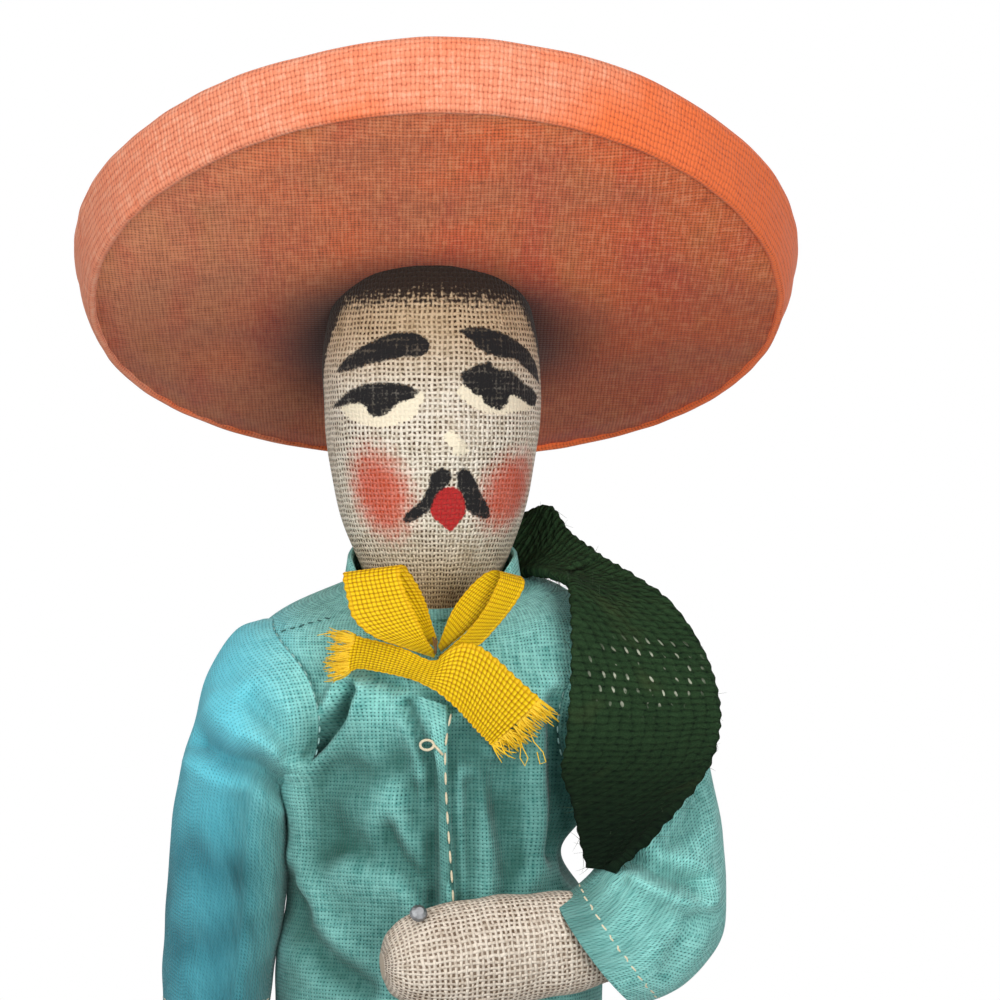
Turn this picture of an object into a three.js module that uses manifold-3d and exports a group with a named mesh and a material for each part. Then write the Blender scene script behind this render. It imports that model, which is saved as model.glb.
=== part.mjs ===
// A standing folk doll of wire, wadding and cloth: gauze head and hands, wide cloth hat,
// cotton shirt with a ribbon bow, woollen serape over one shoulder, trousers and sandals.
// Millimetres, +Z up. The doll faces -Y and its own left arm is on the +X side.
import * as THREE from 'three';
import Module from 'manifold-3d';

const wasm = await Module();
wasm.setup();

// Clearances and cloth
const GAP = 0.3;
const WIRE_R = 0.8;
const SHIRT_WALL = 0.9;
const TROUSER_WALL = 0.8;
const GAUZE_WALL = 0.5;
const LIMB_SIDES = 16;
const CLOTH_SIDES = 20;
const BODY_SIDES = 24;
const HAT_SIDES = 32;

// Heights up the body, each one standing on the one below
const SOLE_T = 2.2;
const FOOT_H = 12.5;
const SHIN = 47;
const THIGH = 50;
const TORSO = 50.5;
const NECK_RISE = 13.5;
const HEAD_H = 59;
const HEAD_HALF = 15.6;
const FOOT_Z = SOLE_T + GAP;
const ANKLE_Z = FOOT_Z + FOOT_H;
const KNEE_Z = ANKLE_Z + SHIN;
const HIP_Z = KNEE_Z + THIGH;
const SHOULDER_Z = HIP_Z + TORSO;
const NECK_Z = SHOULDER_Z + NECK_RISE;

// Places across the body
const NECK_X = -1.2;
const NECK_Y = 2;
const ARMHOLE_X = 22;
const ARM_X = 29;
const LEG_X = 11.6;

// Limbs
const UPPER_ARM = 30.2;
const FOREARM = 40.5;
const SHOULDER_R = 5;
const ARM_R = 5.5;
const ELBOW_R = 4.3;
const HAND_A = 7.4;
const HAND_B = 5.5;
const ARM_OUT = 2.6;
const LEFT_ARM_FORWARD = 14.5;
const LEFT_HAND_FORWARD = 11;
const LEFT_HAND_DROP = 3.4;
const RIGHT_HAND_OUT = 0.84;
const HIP_BALL_R = 7;
const THIGH_R = 7.6;
const KNEE_R = 5;
const CALF_R = 5.6;
const ANKLE_R = 4.2;
const LIMB_END = 0.45;

// Hat, in its own tilted frame
const HAT_UP = 46.4;
const HAT_X = 0.5;
const HAT_TILT = THREE.MathUtils.degToRad(26.3);
const HAT_TURN = THREE.MathUtils.degToRad(2);
const BOARD_R = 47.5;
const BOARD_T = 0.8;
const HAT_CLOTH = 0.5;
const RIM_OUT = 4.1;
const RIM_RISE = 9;
const RIM_T = 1.5;
const BRIM_SADDLE = 1.5;
const CROWN_R = 19.5;
const CROWN_TOP_R = 11.5;
const CROWN_H = 35;
const CROWN_WALL = 1.1;

// Ribbon, serape, shirt trim and sandals
const RIBBON_W = 8;
const RIBBON_T = 0.5;
const KNOT_R = 2.1;
const KNOT_X = -0.5;
const KNOT_Y = -16.6;
const KNOT_DROP = 2;
const SERAPE_T = 1.6;
const PLACKET_W = 3.8;
const PLACKET_T = 0.6;
const PIN_HEAD_R = 1.25;
const PIN_SHANK_R = 0.45;
const PIN_LENGTH = 5;
const PIN_NECK = 0.01;
const PIN_SIDES = 12;
const SOLE_LENGTH = 32;
const SOLE_W = 13;
const HEEL_BACK = 9;
const STRAP_W = 5;
const STRAP_T = 1;
const STRAP_BACK = -SOLE_LENGTH * 0.2;

const material = (color, roughness, metalness = 0) =>
  new THREE.MeshStandardMaterial({ color, roughness, metalness });
const GAUZE = [0xcabfae, 0.95];
const WADDING = [0xe9e3d6, 1];
const CORAL = [0xe8734a, 0.9];
const LINING = [0xa85a35, 0.95];
const BOARD = [0x9a8466, 0.9];
const TURQUOISE = [0x35b3bd, 0.9];
const YELLOW = [0xf2c018, 0.55];
const GREEN_WOOL = [0x17392a, 1];
const MAROON = [0x3a1d1f, 0.95];
const LEATHER = [0x5a3a22, 0.7];
const STEEL = [0x8b8d8e, 0.35, 0.9];
const THREAD = [0xe6dfc8, 0.8];

const doll = new THREE.Group();

function addMesh(name, geometry, finish) {
  geometry.computeVertexNormals();
  const mesh = new THREE.Mesh(geometry, material(...finish));
  mesh.name = name;
  doll.add(mesh);
}

const vec = (x, y, z) => new THREE.Vector3(x, y, z);
const X_AXIS = vec(1, 0, 0);
const Y_AXIS = vec(0, 1, 0);
const Z_AXIS = vec(0, 0, 1);
const mix = THREE.MathUtils.lerp;
const along = (origin, direction, distance) => origin.clone().addScaledVector(direction, distance);

// Points round an ellipse of half sizes a along u and b along v, swelled by fold(angle).
function ring(center, u, v, a, b, sides, fold = () => 0) {
  return Array.from({ length: sides }, (_, i) => {
    const angle = (2 * Math.PI * (i + 0.5)) / sides;
    const swell = 1 + fold(angle);
    return along(along(center, u, a * swell * Math.cos(angle)), v, b * swell * Math.sin(angle));
  });
}

// A closed body through rows of points. Each row goes round the body; the first and last rows
// are capped, or joined to each other when the rows go round a wall.
function skin(rows, joined = false) {
  const sides = rows[0].length;
  const index = [];
  const quad = (a, b, c, d) => index.push(a, b, c, a, c, d);
  const last = joined ? rows.length : rows.length - 1;
  for (let i = 0; i < last; i += 1) {
    const here = i * sides;
    const next = ((i + 1) % rows.length) * sides;
    for (let j = 0; j < sides; j += 1) {
      const k = (j + 1) % sides;
      quad(here + j, here + k, next + k, next + j);
    }
  }
  if (!joined) {
    const end = (rows.length - 1) * sides;
    for (let j = 0; j < sides / 2 - 1; j += 1) {
      const k = sides - 1 - j;
      quad(j, k, k - 1, j + 1);
      quad(end + j, end + j + 1, end + k - 1, end + k);
    }
  }
  const points = rows.flat();
  let volume = 0;
  for (let i = 0; i < index.length; i += 3) {
    const [p, q, r] = [points[index[i]], points[index[i + 1]], points[index[i + 2]]];
    volume += p.dot(q.clone().cross(r));
  }
  if (volume < 0) index.reverse();
  const geometry = new THREE.BufferGeometry();
  const places = points.flatMap((p) => p.toArray());
  geometry.setAttribute('position', new THREE.Float32BufferAttribute(places, 3));
  geometry.setIndex(index);
  return geometry;
}

// An open tube of cloth: its outer rows out and its inner rows back.
const wall = (outer, inner) => skin([...outer, ...inner.slice().reverse()], true);

// A strip of cloth of the given thickness between two edge lines.
function strip(edgeA, edgeB, thickness, across = 4, bulge = 0) {
  const rows = edgeA.map((a, i) => {
    const b = edgeB[i];
    const before = Math.max(i - 1, 0);
    const after = Math.min(i + 1, edgeA.length - 1);
    const run = edgeA[after].clone().add(edgeB[after]).sub(edgeA[before]).sub(edgeB[before]);
    const normal = b.clone().sub(a).cross(run).normalize();
    const front = [];
    const back = [];
    for (let j = 0; j <= across; j += 1) {
      const t = j / across;
      const middle = along(a.clone().lerp(b, t), normal, bulge * Math.sin(Math.PI * t));
      front.push(along(middle, normal, thickness / 2));
      back.unshift(along(middle, normal, -thickness / 2));
    }
    return [...front, ...back];
  });
  return skin(rows);
}

function solid(geometry) {
  const vertProperties = new Float32Array(geometry.attributes.position.array);
  const triVerts = new Uint32Array(geometry.index.array);
  return new wasm.Manifold(new wasm.Mesh({ numProp: 3, vertProperties, triVerts }));
}

function fromSolid(body) {
  const { vertProperties, triVerts } = body.getMesh();
  const geometry = new THREE.BufferGeometry();
  geometry.setAttribute('position', new THREE.BufferAttribute(vertProperties, 3));
  geometry.setIndex(new THREE.BufferAttribute(triVerts, 1));
  return geometry;
}

const cut = (geometry, ...cutters) =>
  fromSolid(cutters.reduce((body, cutter) => body.subtract(solid(cutter)), solid(geometry)));
const keep = (geometry, keeper) => fromSolid(solid(geometry).intersect(solid(keeper)));
const join = (a, b) => fromSolid(solid(a).add(solid(b)));

// A block between two corners, for trimming cloth along its seams.
function block(low, high) {
  const middle = (low.x + high.x) / 2;
  const half = (high.x - low.x) / 2;
  const row = (z) => [
    vec(middle - half, low.y, z), vec(middle + half, low.y, z),
    vec(middle + half, high.y, z), vec(middle - half, high.y, z),
  ];
  return skin([row(low.z), row(high.z)]);
}
const FAR = 400;

function rod(from, to, radius, sides = 8) {
  const axis = to.clone().sub(from).normalize();
  const u = (Math.abs(axis.z) < 0.9 ? Z_AXIS : X_AXIS).clone().cross(axis).normalize();
  const v = axis.clone().cross(u);
  return skin([ring(from, u, v, radius, radius, sides), ring(to, u, v, radius, radius, sides)]);
}
const BORE_R = WIRE_R + GAP;

// Straight-line reading of a table of stations [place, ...sizes].
function station(table, place) {
  let i = 0;
  while (i < table.length - 2 && table[i + 1][0] < place) i += 1;
  const [low, high] = [table[i], table[i + 1]];
  const t = THREE.MathUtils.clamp((place - low[0]) / (high[0] - low[0]), 0, 1);
  return low.slice(1).map((value, k) => mix(value, high[k + 1], t));
}

// Head: wadding on the neck wire in a gauze bag gathered at the chin.
// Stations are shares of its height and half width; the head is a little shallower than wide.
const HEAD_DEPTH = 0.93;
const HEAD_SIDES = 20;
const HEAD_SHAPE = [
  [0, 0.423], [0.05, 0.449], [0.13, 0.622], [0.24, 0.808], [0.38, 0.942],
  [0.51, 1], [0.62, 1], [0.8, 0.885], [0.92, 0.718], [1, 0.449],
];
function headRows(inset) {
  return HEAD_SHAPE.map(([share, wide], i) => {
    const end = i === HEAD_SHAPE.length - 1 ? inset : 0;
    const center = vec(NECK_X, NECK_Y, NECK_Z + LIMB_END + share * HEAD_H - end);
    const a = wide * HEAD_HALF;
    return ring(center, X_AXIS, Y_AXIS, a - inset, a * HEAD_DEPTH - inset, HEAD_SIDES);
  });
}
const spineLine = (z) => vec(NECK_X, NECK_Y, z);
const neckBore = rod(spineLine(NECK_Z - FAR), spineLine(NECK_Z + HEAD_H / 2), BORE_R);
const OPEN_END = 1;
function openBelow(rows) {
  const lowered = rows[0].map((p) => p.clone().setZ(p.z - OPEN_END));
  return [lowered, ...rows.slice(1)];
}
addMesh('head_wadding', cut(skin(headRows(GAUZE_WALL + GAP)), neckBore), WADDING);
addMesh('head_cover', cut(skin(headRows(0)), skin(openBelow(headRows(GAUZE_WALL)))), GAUZE);

// Hat: a cloth-covered stiff brim, its edge turned up in a band, and a tall crown.
// Profiles are [radius, height] in the hat's frame; the brim sags a little at the sides.
const hatPlace = new THREE.Matrix4()
  .makeTranslation(NECK_X + HAT_X, NECK_Y, NECK_Z + HAT_UP)
  .multiply(new THREE.Matrix4().makeRotationZ(HAT_TURN))
  .multiply(new THREE.Matrix4().makeRotationX(-HAT_TILT));
const SEAM_R = BOARD_R + GAP * 2;
const RIM_R = SEAM_R + RIM_OUT;
function hatRow([radius, height]) {
  return Array.from({ length: HAT_SIDES }, (_, i) => {
    const angle = (2 * Math.PI * i) / HAT_SIDES;
    const sag = BRIM_SADDLE * (radius / RIM_R) ** 2 * Math.cos(2 * angle);
    const point = vec(radius * Math.sin(angle), -radius * Math.cos(angle), height + sag);
    return point.applyMatrix4(hatPlace);
  });
}
const hatRing = (profile) => skin(profile.map(hatRow), true);
const headHole = skin(headRows(-GAP));
const HEAD_ROOM = 10;
function brimLayer(bottom, thickness, radius) {
  const middle = (HEAD_ROOM + radius) / 2;
  const top = bottom + thickness;
  const radii = [HEAD_ROOM, middle, radius];
  const loop = [...radii.map((r) => [r, bottom]), ...radii.reverse().map((r) => [r, top])];
  return cut(hatRing(loop), headHole);
}
const LINING_BOTTOM = -GAP - HAT_CLOTH;
const BRIM_TOP = BOARD_T + GAP;
addMesh('hat_brim_board', brimLayer(0, BOARD_T, BOARD_R), BOARD);
addMesh('hat_brim_lining', brimLayer(LINING_BOTTOM, HAT_CLOTH, BOARD_R + GAP), LINING);
addMesh('hat_brim_top', brimLayer(BRIM_TOP, HAT_CLOTH, BOARD_R), CORAL);
const FOLD_R = SEAM_R + RIM_OUT * 0.58;
const FOLD_RISE = RIM_RISE * 0.38;
addMesh('hat_edge_band', hatRing([
  [SEAM_R, LINING_BOTTOM],
  [FOLD_R, FOLD_RISE],
  [RIM_R, RIM_RISE],
  [RIM_R - RIM_T, RIM_RISE + RIM_T * 0.25],
  [FOLD_R - RIM_T, FOLD_RISE + RIM_T * 0.3],
  [SEAM_R, BRIM_TOP + HAT_CLOTH],
]), CORAL);
const CROWN_BASE = BRIM_TOP + HAT_CLOTH + GAP;
const CROWN_SHAPE = [
  [0, CROWN_R], [0.3, CROWN_R * 0.93], [0.72, mix(CROWN_R, CROWN_TOP_R, 0.6)],
  [0.94, CROWN_TOP_R], [1, CROWN_TOP_R * 0.55],
];
function crownRows(inset, drop) {
  return CROWN_SHAPE.map(([share, radius], i) => {
    const height = CROWN_BASE + share * (CROWN_H - inset);
    return hatRow([radius - inset, i === 0 ? height - drop : height]);
  });
}
addMesh('hat_crown', cut(skin(crownRows(0, 0)), skin(crownRows(CROWN_WALL, OPEN_END))), CORAL);

// Shirt body. A level is 0 at the hips, 1 at the shoulders and 2 at the base of the neck.
// Stations are [height above the hips, half width, half depth, centre y].
const level = (share) => Math.min(share, 1) * TORSO + Math.max(share - 1, 0) * NECK_RISE;
const SHIRT_SHAPE = [
  [level(0.03), 23.8, 15.9, 0], [level(0.178), 23.4, 15.4, 0], [level(0.356), 22.8, 15, 0],
  [level(0.574), 21.9, 15, 0], [level(0.752), 22, 15, 0], [level(0.931), 24.5, 14.6, 0],
  [level(1.48), 26.4, 13, 0], [level(1.926), 26, 12, 0.5], [level(2.185), 21.5, 12.2, 1.4],
  [level(2.407), 12.9, 12.4, 1.9],
];
const SHIRT_HEM = SHIRT_SHAPE[0][0];
const SHIRT_TOP = SHIRT_SHAPE[SHIRT_SHAPE.length - 1][0];
const NECK_SLOPE = 0.3;
const NECKLINE = level(1.33);
const SHIRT_FOLD = 0.012;
const FOLDS_ROUND = 9;
const foldsEnd = level(0.67);
function shirtFold(height) {
  const depth = SHIRT_FOLD * THREE.MathUtils.smoothstep(foldsEnd - height, 0, foldsEnd - SHIRT_HEM);
  return (angle) => depth * Math.cos(FOLDS_ROUND * angle);
}
function shirtRow(height, inset) {
  const [a, b, centerY] = station(SHIRT_SHAPE, height);
  const shift = NECK_X * THREE.MathUtils.smoothstep(height, NECKLINE, SHIRT_TOP);
  const center = vec(shift, centerY, HIP_Z + height);
  const row = ring(center, X_AXIS, Y_AXIS, a - inset, b - inset, BODY_SIDES, shirtFold(height));
  const slope = NECK_SLOPE * THREE.MathUtils.smoothstep(height, NECKLINE, SHIRT_TOP);
  return row.map((p) => p.setZ(p.z + slope * (p.y - centerY)));
}
const shirtRows = (inset) => SHIRT_SHAPE.map(([height]) => shirtRow(height, inset));
const shirtTube = wall(shirtRows(0), shirtRows(SHIRT_WALL));
const SIDE_SEAM_Y = 2;
const half = GAP / 2;
const shirtPanel = (low, high) => keep(shirtTube, block(low, high));
const shirtBack = shirtPanel(vec(-ARMHOLE_X, SIDE_SEAM_Y + half, 0), vec(ARMHOLE_X, FAR, FAR));
addMesh('shirt_back', shirtBack, TURQUOISE);
const shirtRight = shirtPanel(vec(-ARMHOLE_X, -FAR, 0), vec(-half, SIDE_SEAM_Y - half, FAR));
addMesh('shirt_front_right', shirtRight, TURQUOISE);
const shirtLeft = shirtPanel(vec(half, -FAR, 0), vec(ARMHOLE_X, SIDE_SEAM_Y - half, FAR));
addMesh('shirt_front_left', shirtLeft, TURQUOISE);

// Collar: a band standing on the neckline, low in front where it opens under the bow.
const COLLAR_H = 5.2;
const COLLAR_FLARE = 1.1;
function collarRow(share, inset) {
  const outset = COLLAR_FLARE * share - inset;
  return shirtRow(SHIRT_TOP, 0).map((p) => {
    const out = vec(p.x - NECK_X, p.y - NECK_Y, 0);
    const reach = out.length();
    const back = THREE.MathUtils.smoothstep(out.y / reach, -0.95, -0.2);
    const lift = GAP + share * mix(0.25, 1, back) * COLLAR_H;
    return vec(p.x + (out.x / reach) * outset, p.y + (out.y / reach) * outset, p.z + lift);
  });
}
const collarRows = (inset) => [0, 0.5, 1].map((share) => collarRow(share, inset));
addMesh('shirt_collar', wall(collarRows(0), collarRows(SHIRT_WALL)), TURQUOISE);

// Placket: the folded strip down the front opening, and the thread loop on it.
const PLACKET_TOP = level(1.185);
const PLACKET_X = 0.4;
const frontY = (height) => station(SHIRT_SHAPE, height)[2] - station(SHIRT_SHAPE, height)[1];
const PLACKET_FACE = GAP + PLACKET_T;
const stationHeights = SHIRT_SHAPE.map(([height]) => height);
const placketHeights = [...stationHeights.filter((height) => height < PLACKET_TOP), PLACKET_TOP];
function placketLine(side) {
  const x = PLACKET_X + (side * PLACKET_W) / 2;
  return placketHeights.map((height) => {
    const y = frontY(height) - GAP * 1.4 - PLACKET_T / 2;
    return vec(x, y, HIP_Z + height);
  });
}
addMesh('shirt_placket', strip(placketLine(-1), placketLine(1), PLACKET_T, 2), TURQUOISE);
const LOOP_R = 1;
const LOOP_WIRE = 0.25;
const LOOP_HEIGHT = level(0.96);
const LOOP_SIDES = 12;
const loopY = frontY(LOOP_HEIGHT) - PLACKET_FACE - GAP - LOOP_WIRE * 2;
const loopCenter = vec(PLACKET_X - PLACKET_W / 2, loopY, HIP_Z + LOOP_HEIGHT);
const loopRows = Array.from({ length: LOOP_SIDES }, (_, i) => {
  const angle = (2 * Math.PI * i) / LOOP_SIDES;
  const out = vec(Math.cos(angle), 0, Math.sin(angle));
  return ring(along(loopCenter, out, LOOP_R), out, Y_AXIS, LOOP_WIRE, LOOP_WIRE, 6);
});
addMesh('placket_loop', skin(loopRows, true), THREAD);

// Trousers: two legs sewn together up the middle, tucked under the shirt at the waist.
// Leg stations are [share of the way from hem to hip, half width, half depth].
const TROUSER_HEM = ANKLE_Z + 2;
const WAIST = 10;
const CROTCH = 12;
const [HEM_A, HEM_B] = SHIRT_SHAPE[0].slice(1);
const PELVIS_A = HEM_A * (1 - SHIRT_FOLD) - SHIRT_WALL - GAP * 3;
const PELVIS_B = HEM_B * (1 - SHIRT_FOLD) - SHIRT_WALL - GAP * 3;
const LEG_SHAPE = [[0, 9.2, 9.2], [0.18, 8.7, 9], [0.5, 9.2, 9.8], [0.75, 9.8, 11], [1, 10, 12]];
const LEG_FOLD = 0.035;
const legFold = (share) => (angle) => LEG_FOLD * Math.sin(5 * angle + 9 * share) * (1 - 0.5 * share);
function legRows(side, inset, reach) {
  return LEG_SHAPE.map(([share, a, b], i) => {
    const z = mix(TROUSER_HEM, HIP_Z - CROTCH / 2, share) - (i === 0 ? reach : 0);
    const center = vec(side * LEG_X, 0, z);
    return ring(center, X_AXIS, Y_AXIS, a - inset, b - inset, CLOTH_SIDES, legFold(share));
  });
}
function pelvisRows(inset, reach) {
  const shape = [[inset - CROTCH, 0.78], [-CROTCH * 0.85, 0.91], [-CROTCH * 0.4, 0.98], [WAIST + reach, 1]];
  return shape.map(([height, share]) => {
    const center = vec(0, 0, HIP_Z + height);
    const a = PELVIS_A * share - inset;
    return ring(center, X_AXIS, Y_AXIS, a, PELVIS_B * share - inset, BODY_SIDES);
  });
}
for (const [side, name] of [[-1, 'right'], [1, 'left']]) {
  const outer = join(skin(pelvisRows(0, 0)), skin(legRows(side, 0, 0)));
  const pelvisRoom = skin(pelvisRows(TROUSER_WALL, OPEN_END));
  const hollow = cut(outer, pelvisRoom, skin(legRows(side, TROUSER_WALL, OPEN_END)));
  const low = side < 0 ? vec(-FAR, -FAR, 0) : vec(half, -FAR, 0);
  const high = side < 0 ? vec(-half, FAR, FAR) : vec(FAR, FAR, FAR);
  addMesh(`trousers_${name}`, keep(hollow, block(low, high)), MAROON);
}

// Trunk: a stuffed body inside the shirt, flat at the armholes, with bores for its wires.
const TRUNK_LOW = HIP_BALL_R + LIMB_END;
const TRUNK_TOP = NECK_Z - HIP_Z;
const TUCK = 3;
const trunkHeights = [TRUNK_LOW, WAIST, WAIST + TUCK,
  ...stationHeights.filter((height) => height > WAIST + 2 * TUCK && height < TRUNK_TOP)];
const trunkRows = trunkHeights.map((height) => {
  const tucked = height <= WAIST ? TROUSER_WALL + GAP * 3 : 0;
  return shirtRow(height, SHIRT_WALL + GAP * 1.6 + tucked);
});
const NECK_STUMP_A = 9.5;
const NECK_STUMP_B = 7.5;
trunkRows.push(ring(spineLine(NECK_Z), X_AXIS, Y_AXIS, NECK_STUMP_A, NECK_STUMP_B, BODY_SIDES));
const TRUNK_SIDE = ARMHOLE_X - GAP;
const trunkBlank = keep(skin(trunkRows), block(vec(-TRUNK_SIDE, -FAR, 0), vec(TRUNK_SIDE, FAR, FAR)));
const shoulderLine = (x) => vec(x, 0, SHOULDER_Z);
addMesh('trunk', cut(trunkBlank, rod(shoulderLine(-FAR), shoulderLine(FAR), BORE_R),
  rod(spineLine(0), spineLine(FAR), BORE_R)), WADDING);

// Armature: a spine from hips to head, a bar through both shoulders and a bar through both hips.
const SPINE_TOP = NECK_Z + HEAD_H / 2 - GAP * 2;
const HIP_BAR = LEG_X + HIP_BALL_R * 0.6;
const SHOULDER_BAR = ARM_X + ELBOW_R;
addMesh('spine_wire', rod(spineLine(HIP_Z + WIRE_R + GAP), spineLine(SPINE_TOP), WIRE_R), STEEL);
addMesh('shoulder_wire', rod(shoulderLine(-SHOULDER_BAR), shoulderLine(SHOULDER_BAR), WIRE_R), STEEL);
const hipLine = (x) => vec(x, NECK_Y, HIP_Z);
addMesh('hip_wire', rod(hipLine(-HIP_BAR), hipLine(HIP_BAR), WIRE_R), STEEL);

// A stuffed limb round a straight axis. Stations are [distance from its start, half u, half v].
const limbRows = (start, axis, u, v, stations) =>
  stations.map(([distance, a, b]) => ring(along(start, axis, distance), u, v, a, b, LIMB_SIDES));

// A round end whose centre lies at distance zero, so that it can turn there.
const ballEnd = (radius) =>
  [80, 55, 25].map((degrees) => {
    const angle = THREE.MathUtils.degToRad(degrees);
    return [-radius * Math.sin(angle), radius * Math.cos(angle), radius * Math.cos(angle)];
  });

// Arms: the right one hangs, the left one is bent across the body with its hand on the chest.
// The frame of each stretch has u pointing away from the body or down, and v across it.
function armFrames(side) {
  const shoulder = vec(side * ARM_X, 0, SHOULDER_Z);
  if (side < 0) {
    const upper = vec(-ARM_OUT, 0, -Math.sqrt(UPPER_ARM ** 2 - ARM_OUT ** 2)).normalize();
    const lower = vec(-RIGHT_HAND_OUT, 0, -FOREARM).normalize();
    const elbow = along(shoulder, upper, UPPER_ARM);
    return { shoulder, elbow, upper, lower, tip: along(elbow, lower, FOREARM) };
  }
  const drop = Math.sqrt(UPPER_ARM ** 2 - LEFT_ARM_FORWARD ** 2 - ARM_OUT ** 2);
  const elbow = along(shoulder, vec(ARM_OUT, -LEFT_ARM_FORWARD, -drop), 1);
  const reach = Math.sqrt(FOREARM ** 2 - LEFT_HAND_FORWARD ** 2 - LEFT_HAND_DROP ** 2);
  const lower = vec(-reach, -LEFT_HAND_FORWARD, -LEFT_HAND_DROP).normalize();
  const upper = elbow.clone().sub(shoulder).normalize();
  return { shoulder, elbow, upper, lower, tip: along(elbow, lower, FOREARM) };
}
const SLEEVE_HALF = 8;
const SLEEVE_DEPTH = 8.6;
const SLEEVE_FAN = 1;
const SLEEVE_TOP = 11;
const SLEEVE_HEAD = [
  [0, SLEEVE_TOP], [22, SLEEVE_TOP * 0.95], [45, SLEEVE_HALF], [68, SLEEVE_HALF * 0.94],
];
const SLEEVE_CREASE = 0.03;
const ARMPIT_DROP = 8.5;
const SLEEVE_WALL = SHIRT_WALL;
const CUFF = { '-1': 13, 1: 9.5 };
const CUFF_SLANT = { '-1': 0, 1: 0.55 };
function sleeveRows(side, frames, inset) {
  const { shoulder, elbow, upper, lower } = frames;
  const armpit = vec(side * (ARMHOLE_X + GAP), 0, SHOULDER_Z - ARMPIT_DROP);
  const rows = [];
  for (const [degrees, length] of SLEEVE_HEAD) {
    const angle = THREE.MathUtils.degToRad(degrees);
    const out = vec(side * Math.sin(angle), 0, Math.cos(angle));
    const lean = upper.y * ARMPIT_DROP * (degrees / 90) ** 1.5;
    const center = along(along(armpit, out, SLEEVE_FAN + length), Y_AXIS, lean);
    rows.push(ring(center, out, Y_AXIS, length - inset, SLEEVE_DEPTH - inset, CLOTH_SIDES));
  }
  const sleeveLine = (distance) => along(shoulder, upper, distance);
  const crease = (share) => (angle) => SLEEVE_CREASE * Math.sin(3 * angle + 7 * share);
  const across = X_AXIS.clone().cross(upper).normalize();
  const facing = upper.clone().cross(across).multiplyScalar(side).normalize();
  for (const share of [0.45, 0.62, 0.78]) {
    const center = sleeveLine(share * UPPER_ARM);
    const b = SLEEVE_DEPTH - GAP - inset;
    rows.push(ring(center, facing, across, SLEEVE_HALF - inset, b, CLOTH_SIDES, crease(share)));
  }
  const bend = upper.clone().add(lower).normalize();
  const bendFacing = bend.clone().cross(across).multiplyScalar(side).normalize();
  const wide = SLEEVE_HALF + GAP - inset;
  rows.push(ring(elbow, bendFacing, across, wide, SLEEVE_DEPTH - GAP * 2 - inset, CLOTH_SIDES));
  const cuffAcross = across.clone().addScaledVector(lower, -across.dot(lower)).normalize();
  const cuffFacing = lower.clone().cross(cuffAcross).multiplyScalar(side).normalize();
  const slant = cuffFacing.clone().addScaledVector(lower, -CUFF_SLANT[side]);
  for (const share of [0.6, 1]) {
    const center = along(elbow, lower, CUFF[side] * share);
    rows.push(ring(center, slant, cuffAcross, wide, SLEEVE_DEPTH - GAP * 3 - inset, CLOTH_SIDES));
  }
  return rows;
}
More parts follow.
